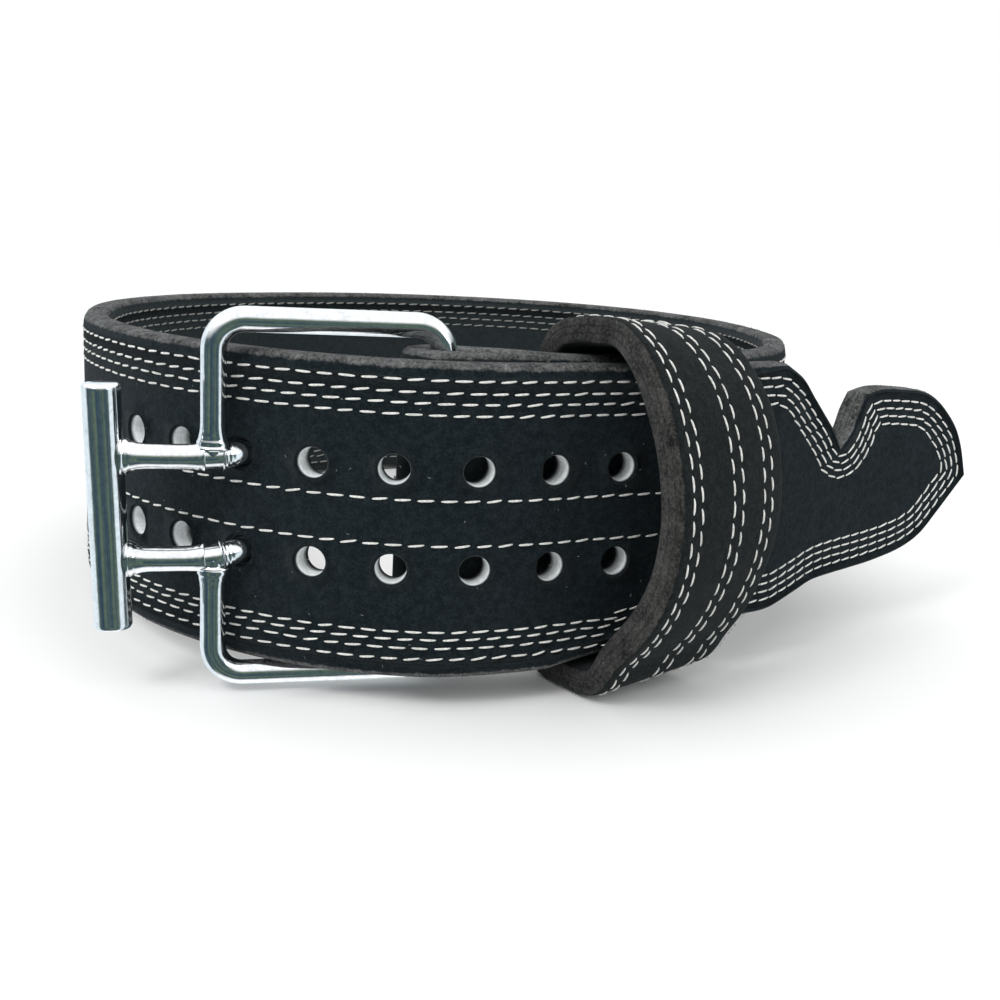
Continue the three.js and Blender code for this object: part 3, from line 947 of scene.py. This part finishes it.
def add_stitches(name, places, goes, outs, lengths, material):
    """One joined mesh of stitches, each with its own small lean, length and height."""
    random = np.random.default_rng(thread_seed)
    count = len(places)
    goes = goes / np.linalg.norm(goes, axis=1, keepdims=True)
    sides = np.cross(outs, goes)
    sides = sides / np.linalg.norm(sides, axis=1, keepdims=True)
    lean_by = np.radians(random.normal(stitch_lean, stitch_lean_spread, count))[:, None]
    goes, sides = (
        goes * np.cos(lean_by) + sides * np.sin(lean_by),
        sides * np.cos(lean_by) - goes * np.sin(lean_by),
    )
    reach = (lengths * random.uniform(*stitch_length_range, count) / 2)[:, None, None]
    lift = random.uniform(*stitch_height_range, count)[:, None, None]
    along = np.linspace(-1, 1, stitch_rings)
    turn = 2 * np.pi * np.arange(stitch_sides) / stitch_sides
    girth = np.sqrt(np.clip(1.04 - along ** 2 * 0.75, 0, 1))
    arch = thread_radius * (0.55 - 1.25 * along ** 4)
    wide = (thread_radius * 1.12 * girth[:, None] * np.cos(turn))[None]
    high = (arch[:, None] + thread_radius * 0.9 * girth[:, None] * np.sin(turn))[None] * lift
    long = np.broadcast_to(along[None, :, None], (1, stitch_rings, stitch_sides)) * reach
    corners = (
        places[:, None, None]
        + goes[:, None, None] * long[..., None]
        + sides[:, None, None] * wide[..., None]
        + outs[:, None, None] * high[..., None]
    ).reshape(-1, 3)
    ring = np.arange(stitch_sides)
    quads = []
    for k in range(stitch_rings - 1):
        a = k * stitch_sides
        quads.append(np.stack([
            a + ring,
            a + (ring + 1) % stitch_sides,
            a + stitch_sides + (ring + 1) % stitch_sides,
            a + stitch_sides + ring,
        ], 1))
    one = np.vstack(quads)
    per_stitch = stitch_rings * stitch_sides
    every = (one[None] + (np.arange(count) * per_stitch)[:, None, None]).reshape(-1, 4)
    piece = new_piece(name, corners, [every])
    piece.data.materials.append(material)
    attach(piece, "root")
    return piece


def make_thread(name, dark, pale, soiled):
    """Waxed thread: two plies laid together, with a little dirt in the lay."""
    material, tree, shader = new_material(name, 0.6)
    where = tree.nodes.new("ShaderNodeTexCoord").outputs["Object"]
    fuzz = noise(tree, where, 1400, 2.0, 0.6)
    soil = noise(tree, where, 90, 3.0, 0.6)
    tone = mixed(tree, spread(tree, fuzz, 0.3, 0.7), dark, pale)
    tone = mixed(tree, spread(tree, soil, 0.5, 0.75, 0.0, soiled), tone, (0.2, 0.21, 0.2, 1))
    tree.links.new(tone, shader.inputs["Base Color"])
    bump(tree, shader, fuzz, 0.0003, 0.6)
    return material


white_thread = make_thread("white thread", (0.5, 0.5, 0.47, 1), (0.9, 0.9, 0.87, 1), 0.3)
# The inner face's thread is painted darker as painted shade inside the ring, and it also carries more dirt
# in its lay.
soiled_shaded_thread = make_thread("soiled shaded thread", (0.14, 0.14, 0.13, 1), (0.4, 0.4, 0.38, 1), 0.8)

# Heights of the rows on the strap, in millimetres above its lower edge. The rows by the lower
# edge start further along than the others, and no row's stitches line up with the next row's.
strap_row_heights = [94.74, 90.99, 87.73, 84.2, 57.8, 43.52, 15.68, 13.19, 10.36, 6.75]
low_rows_under = 20.0
row_start = 36.0
low_row_start = 67.0
row_end_gap = 6.0
row_stagger = 2.3
tip_row_stagger = 1.9
keeper_row_stagger = 2.1


def strap_stitches(side):
    """Places, directions and outward ways of the stitches on one face of the strap."""
    flat, go = [], []
    for k, height in enumerate(strap_row_heights):
        start = row_start if height > low_rows_under else low_row_start
        first = start + (k * row_stagger) % stitch_pitch
        along = np.arange(first, strap_end - row_end_gap, stitch_pitch)
        flat.append(np.stack([along, np.full(len(along), height)], 1))
        go.append(np.tile([1.0, 0.0], (len(along), 1)))
    for k, depth in enumerate(tip_row_depths):
        line = tip_row(depth)
        gone = walked(line)
        along = np.arange((k * tip_row_stagger) % tip_pitch, gone[-1], tip_pitch)
        flat.append(along_line(line, along))
        go.append(heading(line, along, 2.0))
    flat = np.vstack(flat)
    go = np.vstack(go)
    out = side * strap_thickness / 2
    places = on_strap(flat[:, 0], flat[:, 1], out)
    ahead = on_strap(flat[:, 0] + go[:, 0], flat[:, 1] + go[:, 1], out)
    further = on_strap(flat[:, 0], flat[:, 1], out + side)
    outs = further - places
    outs = outs / np.linalg.norm(outs, axis=1, keepdims=True)
    return places, ahead - places, outs


# On the tip the rows follow its outline and crowd a little closer together.
tip_row_depths = [4.9, 7.9, 10.9, 13.9]
tip_pitch = 5.7


def tip_row(depth):
    """A stitch row inside the tip's outline, rounded where the outline turns sharply."""
    loop = np.vstack([level(60, 0.0, strap_width, 2.0), tip_outline])
    moved = loop + inwards(loop) * depth
    fits = np.array([
        np.linalg.norm(outline - p, axis=1).min() > depth * 0.96 for p in moved
    ])
    fits &= inside(moved, outline)
    moved = moved[fits]
    moved = moved[moved[:, 0] < np.where(moved[:, 1] > strap_width / 2, row_start, low_row_start)]
    softened = moved.copy()
    for _ in range(3):
        softened[1:-1] = (softened[:-2] + 2 * softened[1:-1] + softened[2:]) / 4
    return smooth_line(softened, steps=6)


outer_places, outer_goes, outer_outs = strap_stitches(1)
inner_places, inner_goes, inner_outs = strap_stitches(-1)
stitch_lengths = np.full(len(outer_places), stitch_pitch * stitch_share)
outer_stitches = add_stitches(
    "outer_stitches", outer_places, outer_goes, outer_outs, stitch_lengths, white_thread
)
inner_stitches = add_stitches(
    "inner_stitches", inner_places, inner_goes, inner_outs, stitch_lengths, soiled_shaded_thread
)

# Shares of the keeper's width at which its rows run. Each starts and ends behind the two laps.
keeper_row_shares = [0.085, 0.157, 0.445, 0.532, 0.76, 0.85]
keeper_stitch_share = 0.76


def keeper_stitches():
    """Places, directions and outward ways of the stitches on the keeper's outside."""
    places, goes, outs = [], [], []
    for k, share in enumerate(keeper_row_shares):
        ring = np.roll(keeper_ring(share, keeper_thickness / 2), keeper_steps // 2, axis=0)
        beyond = np.roll(keeper_ring(share, keeper_thickness / 2 + 1), keeper_steps // 2, axis=0)
        loop = np.vstack([ring, ring[:1]])
        outer = np.vstack([beyond, beyond[:1]])
        gone = walked(loop)
        first = (k * keeper_row_stagger) % stitch_pitch
        along = np.arange(first, gone[-1] - stitch_pitch, stitch_pitch)
        at = along_line(loop, along)
        way = np.stack([np.interp(along, gone, (outer - loop)[:, j]) for j in range(3)], 1)
        places.append(at)
        goes.append(heading(loop, along))
        outs.append(way / np.linalg.norm(way, axis=1, keepdims=True))
    return np.vstack(places), np.vstack(goes), np.vstack(outs)


keeper_places, keeper_goes, keeper_outs = keeper_stitches()
keeper_lengths = np.full(len(keeper_places), stitch_pitch * keeper_stitch_share)
keeper_threads = add_stitches(
    "keeper_stitches", keeper_places, keeper_goes, keeper_outs, keeper_lengths, white_thread
)


# The fuzz: loose fibres of suede that stand off the cut edges and the keeper's outside, and a
# little pale lint that lies on the strap. Each is a fine bent spike rooted in the surface, the
# fibres in the leather's own colour.

fibre_radius = 0.07
fibre_girths = (0.6, 1.2)
fibre_taper = 0.75
fibre_bend = 0.3
fibre_sway = 0.35
fibre_root = 0.15
fibre_seed = 11
strap_fibre_count = 7000
strap_fibre_lengths = (0.15, 0.6)
keeper_fibre_count = 7000
keeper_fibre_lengths = (0.15, 0.55)
keeper_edge_rings = 8
keeper_face_rings = 12
lint_count = 90
lint_lengths = (0.3, 1.3)
# Along and up the strap: the part of its outside that the lint lies on.
lint_low = (20, 4)
lint_high = (330, strap_width - 4)


def add_fibres(name, roots, tips, random, material):
    """One joined mesh of fibres between roots and tips, each bent and pointed."""
    count = len(roots)
    along = tips - roots
    length = np.linalg.norm(along, axis=1, keepdims=True)
    way = along / length
    side = np.cross(way, random.normal(size=(count, 3)))
    side = side / np.linalg.norm(side, axis=1, keepdims=True)
    other = np.cross(way, side)
    knee = (roots + tips) / 2 + side * length * random.uniform(-fibre_bend, fibre_bend, (count, 1))
    turn = 2 * np.pi * np.arange(3) / 3
    spokes = side[:, None] * np.cos(turn)[None, :, None] + other[:, None] * np.sin(turn)[None, :, None]
    girth = fibre_radius * random.uniform(*fibre_girths, (count, 1, 1))
    corners = np.concatenate([
        roots[:, None] + spokes * girth,
        knee[:, None] + spokes * girth * fibre_taper,
        tips[:, None],
    ], 1)
    triangles = np.array([
        (0, 2, 1), (3, 4, 6), (4, 5, 6), (5, 3, 6),
        (0, 1, 4), (0, 4, 3), (1, 2, 5), (1, 5, 4), (2, 0, 3), (2, 3, 5),
    ])
    every = (triangles[None] + (np.arange(count) * 7)[:, None, None]).reshape(-1, 3)
    piece = new_piece(name, corners.reshape(-1, 3), [every])
    piece.data.materials.append(material)
    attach(piece, "root")
    return piece


def strap_fibres(random):
    """Roots and tips of fibres along the strap's cut edge."""
    closed = np.vstack([outline, outline[:1]])
    inward = inwards(outline)
    inward = np.vstack([inward, inward[:1]])
    gone = walked(closed)
    at = random.uniform(0, gone[-1], strap_fibre_count)
    flat = along_line(closed, at)
    outward = -np.stack([np.interp(at, gone, inward[:, k]) for k in range(2)], 1)
    share = random.uniform(-0.93, 0.93, strap_fibre_count)
    depths = [depth for depth, height in edge_rounding[::-1]]
    heights = [height for depth, height in edge_rounding[::-1]]
    inset = np.interp(np.abs(share), heights, depths)[:, None]
    length = random.uniform(*strap_fibre_lengths, (strap_fibre_count, 1))
    sway = random.normal(scale=fibre_sway, size=(strap_fibre_count, 2))
    root = flat - outward * (inset + fibre_root)
    tip = flat - outward * inset + (outward + sway) * length
    half = strap_thickness / 2
    lift = share * half + (share + random.normal(scale=0.3, size=strap_fibre_count)) * length[:, 0]
    return on_strap(root[:, 0], root[:, 1], share * half), on_strap(tip[:, 0], tip[:, 1], lift)


def keeper_fibres(random):
    """Roots and tips of fibres on the keeper's two cut edges and on its outside."""
    half = keeper_thickness / 2
    roots, tips = [], []
    per_ring = keeper_fibre_count // (2 * keeper_edge_rings + keeper_face_rings)
    for end, way in ((0.0, -1), (1.0, 1)):
        for proud in np.linspace(-0.9, 0.95, keeper_edge_rings) * half:
            pick = random.integers(0, keeper_steps, per_ring)
            length = random.uniform(*keeper_fibre_lengths)
            lift = random.normal(scale=0.15)
            roots.append(keeper_ring(end - way * 0.004, proud)[pick])
            tips.append(keeper_ring(end + way * length / keeper_width, proud + lift)[pick])
    for share in np.linspace(0.02, 0.98, keeper_face_rings):
        pick = random.integers(0, keeper_steps, per_ring)
        roots.append(keeper_ring(share, half - 0.1)[pick])
        tips.append(keeper_ring(share + random.normal(scale=0.004), half + random.uniform(0.1, 0.35))[pick])
    roots = np.vstack(roots)
    tips = np.vstack(tips)
    return roots, tips + random.normal(scale=0.12, size=tips.shape)


def lint(random):
    """Ends of short pale fibres that lie on the strap's outside."""
    root = random.uniform(lint_low, lint_high, (lint_count, 2))
    turn = random.uniform(0, 2 * np.pi, lint_count)
    length = random.uniform(*lint_lengths, lint_count)
    tip = root + np.stack([np.cos(turn), np.sin(turn)], 1) * length[:, None]
    lift = strap_thickness / 2
    return on_strap(root[:, 0], root[:, 1], lift + 0.05), on_strap(tip[:, 0], tip[:, 1], lift + 0.2)


fibre_suede, _, fibre_shader = new_material("fibre suede", 0.95)
fibre_shader.inputs["Base Color"].default_value = (0.02, 0.022, 0.023, 1)
fibre_shader.inputs["Specular IOR Level"].default_value = 0.1
fibre_random = np.random.default_rng(fibre_seed)
pale_lint, _, lint_shader = new_material("pale lint", 0.9)
lint_shader.inputs["Base Color"].default_value = (0.5, 0.52, 0.53, 1)
strap_fuzz = add_fibres("strap_fibres", *strap_fibres(fibre_random), fibre_random, fibre_suede)
keeper_fuzz = add_fibres("keeper_fibres", *keeper_fibres(fibre_random), fibre_random, fibre_suede)
strap_lint = add_fibres("strap_lint", *lint(fibre_random), fibre_random, pale_lint)


# The buckle: 8 mm steel rod bent to an open frame, with two arms welded across its open side,
# a thicker pull bar welded to the arms, and prongs that hook into the holes. All of it is
# polished and chromed after welding.

buckle_inner_height = 105.5
buckle_rise = 2.1
bend_radius = 9.5
upper_arm_height = 66.2
lower_arm_height = 33.8
arm_length = 31.5
prong_diameter = 8.0
prong_reach = 3.0
pull_bar_diameter = 11.5
pull_bar_length = 77.0
pull_bar_middle = 50.0
pull_bar_tilt = math.radians(2.0)
# Over its last stretch a prong narrows to this share of its radius, and it ends round.
prong_end_share = 0.72
prong_taper_length = 5.04
prong_end_rings = 6
arm_steps = 60
rod_sides = 32


def lifted(plan, height):
    """A place above a point of the plan."""
    return np.array([plan[0], plan[1], height])


def bent_line(corners, radius, steps=14):
    """A line through corners with round bends of one radius."""
    line = [corners[0]]
    for k in range(1, len(corners) - 1):
        corner = corners[k]
        before = corners[k - 1] - corner
        after = corners[k + 1] - corner
        before = before / np.linalg.norm(before)
        after = after / np.linalg.norm(after)
        half = math.acos(np.clip(before @ after, -1, 1)) / 2
        middle = before + after
        centre = corner + middle / np.linalg.norm(middle) * radius / math.sin(half)
        first = corner + before * radius / math.tan(half) - centre
        last = corner + after * radius / math.tan(half) - centre
        sweep = math.pi - 2 * half
        for share in np.linspace(0, 1, steps):
            a = math.sin((1 - share) * sweep) / math.sin(sweep)
            b = math.sin(share * sweep) / math.sin(sweep)
            line.append(centre + first * a + last * b)
    line.append(corners[-1])
    return np.array(line)


def rod_mesh(line, radii):
    """Corners and faces of a rod along a line, with one or two radii at each point."""
    line = np.asarray(line, float)
    ways = np.vstack([line[1] - line[0], line[2:] - line[:-2], line[-1] - line[-2]])
    ways = ways / np.linalg.norm(ways, axis=1, keepdims=True)
    side = np.array([0.0, 0.0, 1.0]) if abs(ways[0][2]) < 0.8 else np.array([1.0, 0.0, 0.0])
    turn = 2 * np.pi * np.arange(rod_sides) / rod_sides
    corners = []
    radii = np.broadcast_to(np.asarray(radii, float).reshape(len(line), -1), (len(line), 2))
    for place, way, (tall, deep) in zip(line, ways, radii):
        side = side - way * (side @ way)
        side = side / np.linalg.norm(side)
        other = np.cross(way, side)
        ring = tall * np.outer(np.cos(turn), side) + deep * np.outer(np.sin(turn), other)
        corners.append(place + ring)
    ring = np.arange(rod_sides)
    quads = []
    for k in range(len(line) - 1):
        a = k * rod_sides
        quads.append(np.stack([
            a + ring,
            a + (ring + 1) % rod_sides,
            a + rod_sides + (ring + 1) % rod_sides,
            a + rod_sides + ring,
        ], 1))
    last = (len(line) - 1) * rod_sides
    caps = [list(ring[::-1]), list(ring + last)]
    return np.vstack(corners), np.vstack(quads).tolist() + caps


def straight_line(start, stop, places):
    """Points between two ends, at the given shares of the way."""
    places = np.asarray(places, float)[:, None]
    return start + (stop - start) * places


buckle_top = strap_width / 2 + buckle_rise + (buckle_inner_height + rod_diameter) / 2
buckle_bottom = buckle_top - buckle_inner_height - rod_diameter
rod_radius = rod_diameter / 2

frame_line = bent_line([
    lifted(buckle_end, upper_arm_height),
    lifted(buckle_end, buckle_top),
    lifted(hinge, buckle_top),
    lifted(hinge, buckle_bottom),
    lifted(buckle_end, buckle_bottom),
    lifted(buckle_end, lower_arm_height),
], bend_radius)

buckle_parts = []
pull_plan = buckle_end + buckle_along * arm_length


def on_pull_bar(height):
    """The pull bar's middle line at a height: it leans out a little towards its top."""
    return lifted(pull_plan + buckle_along * math.tan(pull_bar_tilt) * (height - pull_bar_middle), height)


# Rings of the pull bar: distance in from an end, radius as a share. Its ends are sawn and dressed.
bar_end = [(0.0, 0.0), (0.0, 0.8), (0.15, 0.88), (0.5, 0.95), (1.1, 1.0), (2.0, 1.0)]
bar_low = on_pull_bar(pull_bar_middle - pull_bar_length / 2)
bar_high = on_pull_bar(pull_bar_middle + pull_bar_length / 2)
bar_shares = [inset / pull_bar_length for inset, share in bar_end]
bar_shares += [1 - inset / pull_bar_length for inset, share in bar_end[::-1]]
bar_radii = [share for inset, share in bar_end] + [share for inset, share in bar_end[::-1]]
bar_radii = np.maximum(np.array(bar_radii), 0.01) * pull_bar_diameter / 2
bar_line = straight_line(bar_low, bar_high, bar_shares)
bar_line[0] -= (bar_high - bar_low) / pull_bar_length * 1e-3
bar_line[-1] += (bar_high - bar_low) / pull_bar_length * 1e-3
buckle_parts.append(rod_mesh(bar_line, bar_radii))

# A weld's bead flares from the arm to what it joins, in ripples. It spreads more along the
# joined rod than across it. The beads at the frame are smaller than those at the pull bar, and
# each starts a little inside the rod that it joins.
weld_reach = 9.0
weld_tall = 2.6
weld_deep = 1.3
weld_falloff = 2.6
ripple_height = 0.17
ripple_spacing = 2.1
weld_sunk = 1.2
frame_weld_sunk = 1.5
frame_weld_share = 0.6
frame_weld_flare = 0.5
arm_past_frame = 3.0


def weld_swell(distance, flare):
    """How much a weld adds to an arm's radius at a distance from the joined surface."""
    near = np.clip(1 - distance / weld_reach, 0, 1) ** weld_falloff
    ripple = ripple_height * np.cos(2 * np.pi * distance / ripple_spacing)
    return np.where(distance > 0, near * (flare + ripple), 0)


# The frame's two open ends are welded to the arms, and their beads spread along the arms.
frame_end_tall = weld_tall * 0.75
frame_end_deep = weld_deep * 0.5
fine_length = 16.0
fine_step = 0.4
frame_run = walked(frame_line)
near_end = np.arange(0, fine_length, fine_step)
frame_stops = np.unique(np.concatenate([frame_run, near_end, frame_run[-1] - near_end]))
frame_line = along_line(frame_line, frame_stops)
from_arm = np.minimum(frame_stops, frame_stops[-1] - frame_stops) - prong_diameter / 2 + weld_sunk
frame_radii = [rod_radius + weld_swell(from_arm, flare) for flare in (frame_end_tall, frame_end_deep)]
buckle_parts.append(rod_mesh(frame_line, np.stack(frame_radii, 1)))

prong_place = along_line(outer_line, [prong_along])[0]
prong_go = heading(outer_line, [prong_along])[0]
prong_inward = -np.array([-prong_go[1], prong_go[0]])
before_face = 1.0
before_hole = prong_place - prong_inward * (strap_thickness / 2 + before_face)
past_hole = prong_place + prong_inward * (strap_thickness / 2 + prong_reach)
shoulder = prong_place - prong_inward * (strap_thickness / 2 + rod_radius - before_face)
halfway_share = 0.45
for arm_height, hole_height in (
    (upper_arm_height, upper_hole_row),
    (lower_arm_height, lower_hole_row),
):
    start = lifted(on_pull_bar(arm_height)[:2], arm_height)
    at_frame = lifted(buckle_end + buckle_along * arm_past_frame, arm_height)
    halfway = lifted(buckle_end, arm_height) * (1 - halfway_share)
    halfway = halfway + lifted(shoulder, hole_height) * halfway_share
    corners = [start, at_frame, halfway, lifted(before_hole, hole_height), lifted(past_hole, hole_height)]
    line = smooth_line(np.array(corners), steps=arm_steps)
    gone = walked(line)
    arm_run = np.linalg.norm(at_frame - start)
    from_bar = gone - pull_bar_diameter / 2 + weld_sunk
    from_frame = np.abs(gone - arm_run - arm_past_frame) - rod_radius + frame_weld_sunk
    # Past the frame the bead falls off twice as fast.
    from_frame = np.where(gone > arm_run + arm_past_frame, from_frame * 2, from_frame)
    radii = np.stack([
        prong_diameter / 2
        + weld_swell(from_bar, flare)
        + frame_weld_share * weld_swell(from_frame, flare * frame_weld_flare)
        for flare in (weld_tall, weld_deep)
    ], 1)
    untapered = (gone[-1] - gone) / prong_taper_length
    radii = radii * np.clip(prong_end_share + (1 - prong_end_share) * untapered, 0, 1)[:, None]
    round_end = np.sqrt(np.clip(1 - np.linspace(0, 1, prong_end_rings) ** 2, 0.02, 1))
    radii[-prong_end_rings:] *= round_end[:, None]
    buckle_parts.append(rod_mesh(line, radii))

buckle_corners, buckle_faces = [], []
for corners, faces in buckle_parts:
    shift = sum(len(c) for c in buckle_corners)
    buckle_corners.append(corners)
    buckle_faces.append([[shift + k for k in face] for face in faces])
buckle = new_piece("buckle_chrome", np.vstack(buckle_corners), buckle_faces)


# How fine the chrome's haze, polishing marks and waves are, in features a metre.
chrome_haze_scale = 60
chrome_mark_scale = 420
chrome_wave_scale = 130
chrome_bright = (0.86, 0.88, 0.9, 1)
chrome_dull = (0.66, 0.69, 0.72, 1)


def make_chrome():
    """Chromed steel: mirror bright, with polishing marks, faint haze and faint waves."""
    material, tree, shader = new_material("chromed steel", 0.12)
    where = tree.nodes.new("ShaderNodeTexCoord").outputs["Object"]
    haze = noise(tree, where, chrome_haze_scale, 4.0, 0.6)
    marks = noise(tree, where, chrome_mark_scale, 3.0, 0.7)
    tree.links.new(spread(tree, haze, 0.35, 0.75, 0.06, 0.2), shader.inputs["Roughness"])
    tone = mixed(tree, spread(tree, marks, 0.4, 0.75), chrome_bright, chrome_dull)
    tree.links.new(tone, shader.inputs["Base Color"])
    shader.inputs["Metallic"].default_value = 1.0
    broad = noise(tree, where, chrome_wave_scale, 2.0, 0.5)
    waves = maths(tree, "ADD", broad, maths(tree, "MULTIPLY", marks, 0.08))
    bump(tree, shader, waves, 0.0003, 0.35)
    return material


buckle.data.materials.append(make_chrome())
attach(buckle, "root")
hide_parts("buckle")


# The studio: a pale floor, soft light from above and from both sides, and the camera at the
# photograph's angle, low in front and tipped a little to one side.

floor_mesh = bpy.data.meshes.new("floor")
floor_reach = 6.0
floor_mesh.from_pydata(
    [
        (-floor_reach, -floor_reach, 0),
        (floor_reach, -floor_reach, 0),
        (floor_reach, floor_reach, 0),
        (-floor_reach, floor_reach, 0),
    ],
    [],
    [(0, 1, 2, 3)],
)
floor = bpy.data.objects.new("floor", floor_mesh)
bpy.context.scene.collection.objects.link(floor)
floor_paint, _, floor_shader = new_material("pale floor", 0.9)
floor_shader.inputs["Base Color"].default_value = (0.9, 0.9, 0.9, 1)
floor_mesh.materials.append(floor_paint)
floor.visible_glossy = False


def make_studio_world():
    """Bright ceiling, dim patchy walls with a light side and a light strip, and white behind."""
    world = bpy.data.worlds.new("studio")
    world.use_nodes = True
    tree = world.node_tree
    output = tree.nodes["World Output"]
    shown = tree.nodes["Background"]
    shown.inputs["Color"].default_value = (1, 1, 1, 1)
    shown.inputs["Strength"].default_value = 1.0
    way = tree.nodes.new("ShaderNodeTexCoord").outputs["Generated"]
    split = tree.nodes.new("ShaderNodeSeparateXYZ")
    tree.links.new(way, split.inputs[0])
    ahead = maths(tree, "MULTIPLY", split.outputs["Y"], -1.0)
    around = maths(tree, "ARCTAN2", split.outputs["X"], ahead)
    light_side = spread(tree, around, light_side_end, light_side_end - light_side_blur)
    strip_left = spread(tree, around, strip_start, strip_start + strip_blur)
    strip_right = spread(tree, around, strip_end, strip_end - strip_blur)
    strips = maths(tree, "MAXIMUM", light_side, maths(tree, "MULTIPLY", strip_left, strip_right))
    patches = spread(tree, noise(tree, way, 2.6, 3.0, 0.6), 0.4, 0.62)
    walls = mixed(tree, patches, wall_tone, wall_patch_tone)
    walls = mixed(tree, strips, walls, strip_tone)
    height = spread(tree, split.outputs["Z"], wall_foot, wall_top)
    ground = spread(tree, split.outputs["Z"], -0.8, -0.95)
    walls = mixed(tree, maths(tree, "MAXIMUM", height, ground), walls, ceiling_tone)
    lighting = tree.nodes.new("ShaderNodeBackground")
    tree.links.new(walls, lighting.inputs["Color"])
    lighting.inputs["Strength"].default_value = studio_strength
    choice = tree.nodes.new("ShaderNodeMixShader")
    seen = tree.nodes.new("ShaderNodeLightPath").outputs["Is Camera Ray"]
    tree.links.new(seen, choice.inputs[0])
    tree.links.new(lighting.outputs[0], choice.inputs[1])
    tree.links.new(shown.outputs[0], choice.inputs[2])
    tree.links.new(choice.outputs[0], output.inputs["Surface"])
    return world


# Walls are dim up to this height over the horizon, as the sine of the angle.
wall_foot = 0.18
wall_top = 0.5
wall_tone = (0.03, 0.055, 0.085, 1)
wall_patch_tone = (0.1, 0.14, 0.1, 1)
# The light side and the light strip, as angles from straight ahead, positive to the right.
light_side_end = -1.2
light_side_blur = 0.2
strip_start = 1.0
strip_end = 1.65
strip_blur = 0.12
strip_tone = (0.72, 0.8, 0.84, 1)
ceiling_tone = (1.0, 1.0, 1.0, 1)
studio_strength = 1.25
bpy.context.scene.world = make_studio_world()
bpy.context.scene.view_settings.view_transform = "Standard"

belt_middle = Vector((0.0, 0.0, 0.06))


def soft_light(name, place, size, power):
    """A square soft light aimed at the belt."""
    data = bpy.data.lights.new(name, "AREA")
    data.shape = "SQUARE"
    data.size = size
    data.energy = power
    light = bpy.data.objects.new(name, data)
    light.location = place
    light.rotation_euler = (belt_middle - Vector(place)).to_track_quat("-Z", "Y").to_euler()
    bpy.context.scene.collection.objects.link(light)


soft_light("key_light", (-0.8, -1.1, 1.3), 0.6, 10.0)
soft_light("fill_light", (1.4, -1.0, 0.7), 0.5, 2.5)

camera_pitch = math.radians(12.7806)
camera_roll = math.radians(3.274)
camera_place = (20.0, -516.0, 140.21)
camera_lens = 43.2
ahead = np.array([0.0, math.cos(camera_pitch), -math.sin(camera_pitch)])
upright = np.array([0.0, math.sin(camera_pitch), math.cos(camera_pitch)])
rightward = np.array([1.0, 0.0, 0.0])
camera_x = math.cos(camera_roll) * rightward + math.sin(camera_roll) * upright
camera_y = math.cos(camera_roll) * upright - math.sin(camera_roll) * rightward
camera_axes = lean_turn @ np.stack([camera_x, camera_y, -ahead], 1)
camera_data = bpy.data.cameras.new("camera")
camera_data.lens = camera_lens
camera_data.sensor_width = 36.0
camera = bpy.data.objects.new("camera", camera_data)
camera.matrix_world = Matrix.LocRotScale(
    Vector(to_frame([camera_place])[0]),
    Matrix(camera_axes.tolist()).to_quaternion(),
    None,
)
bpy.context.scene.collection.objects.link(camera)
bpy.context.scene.camera = camera
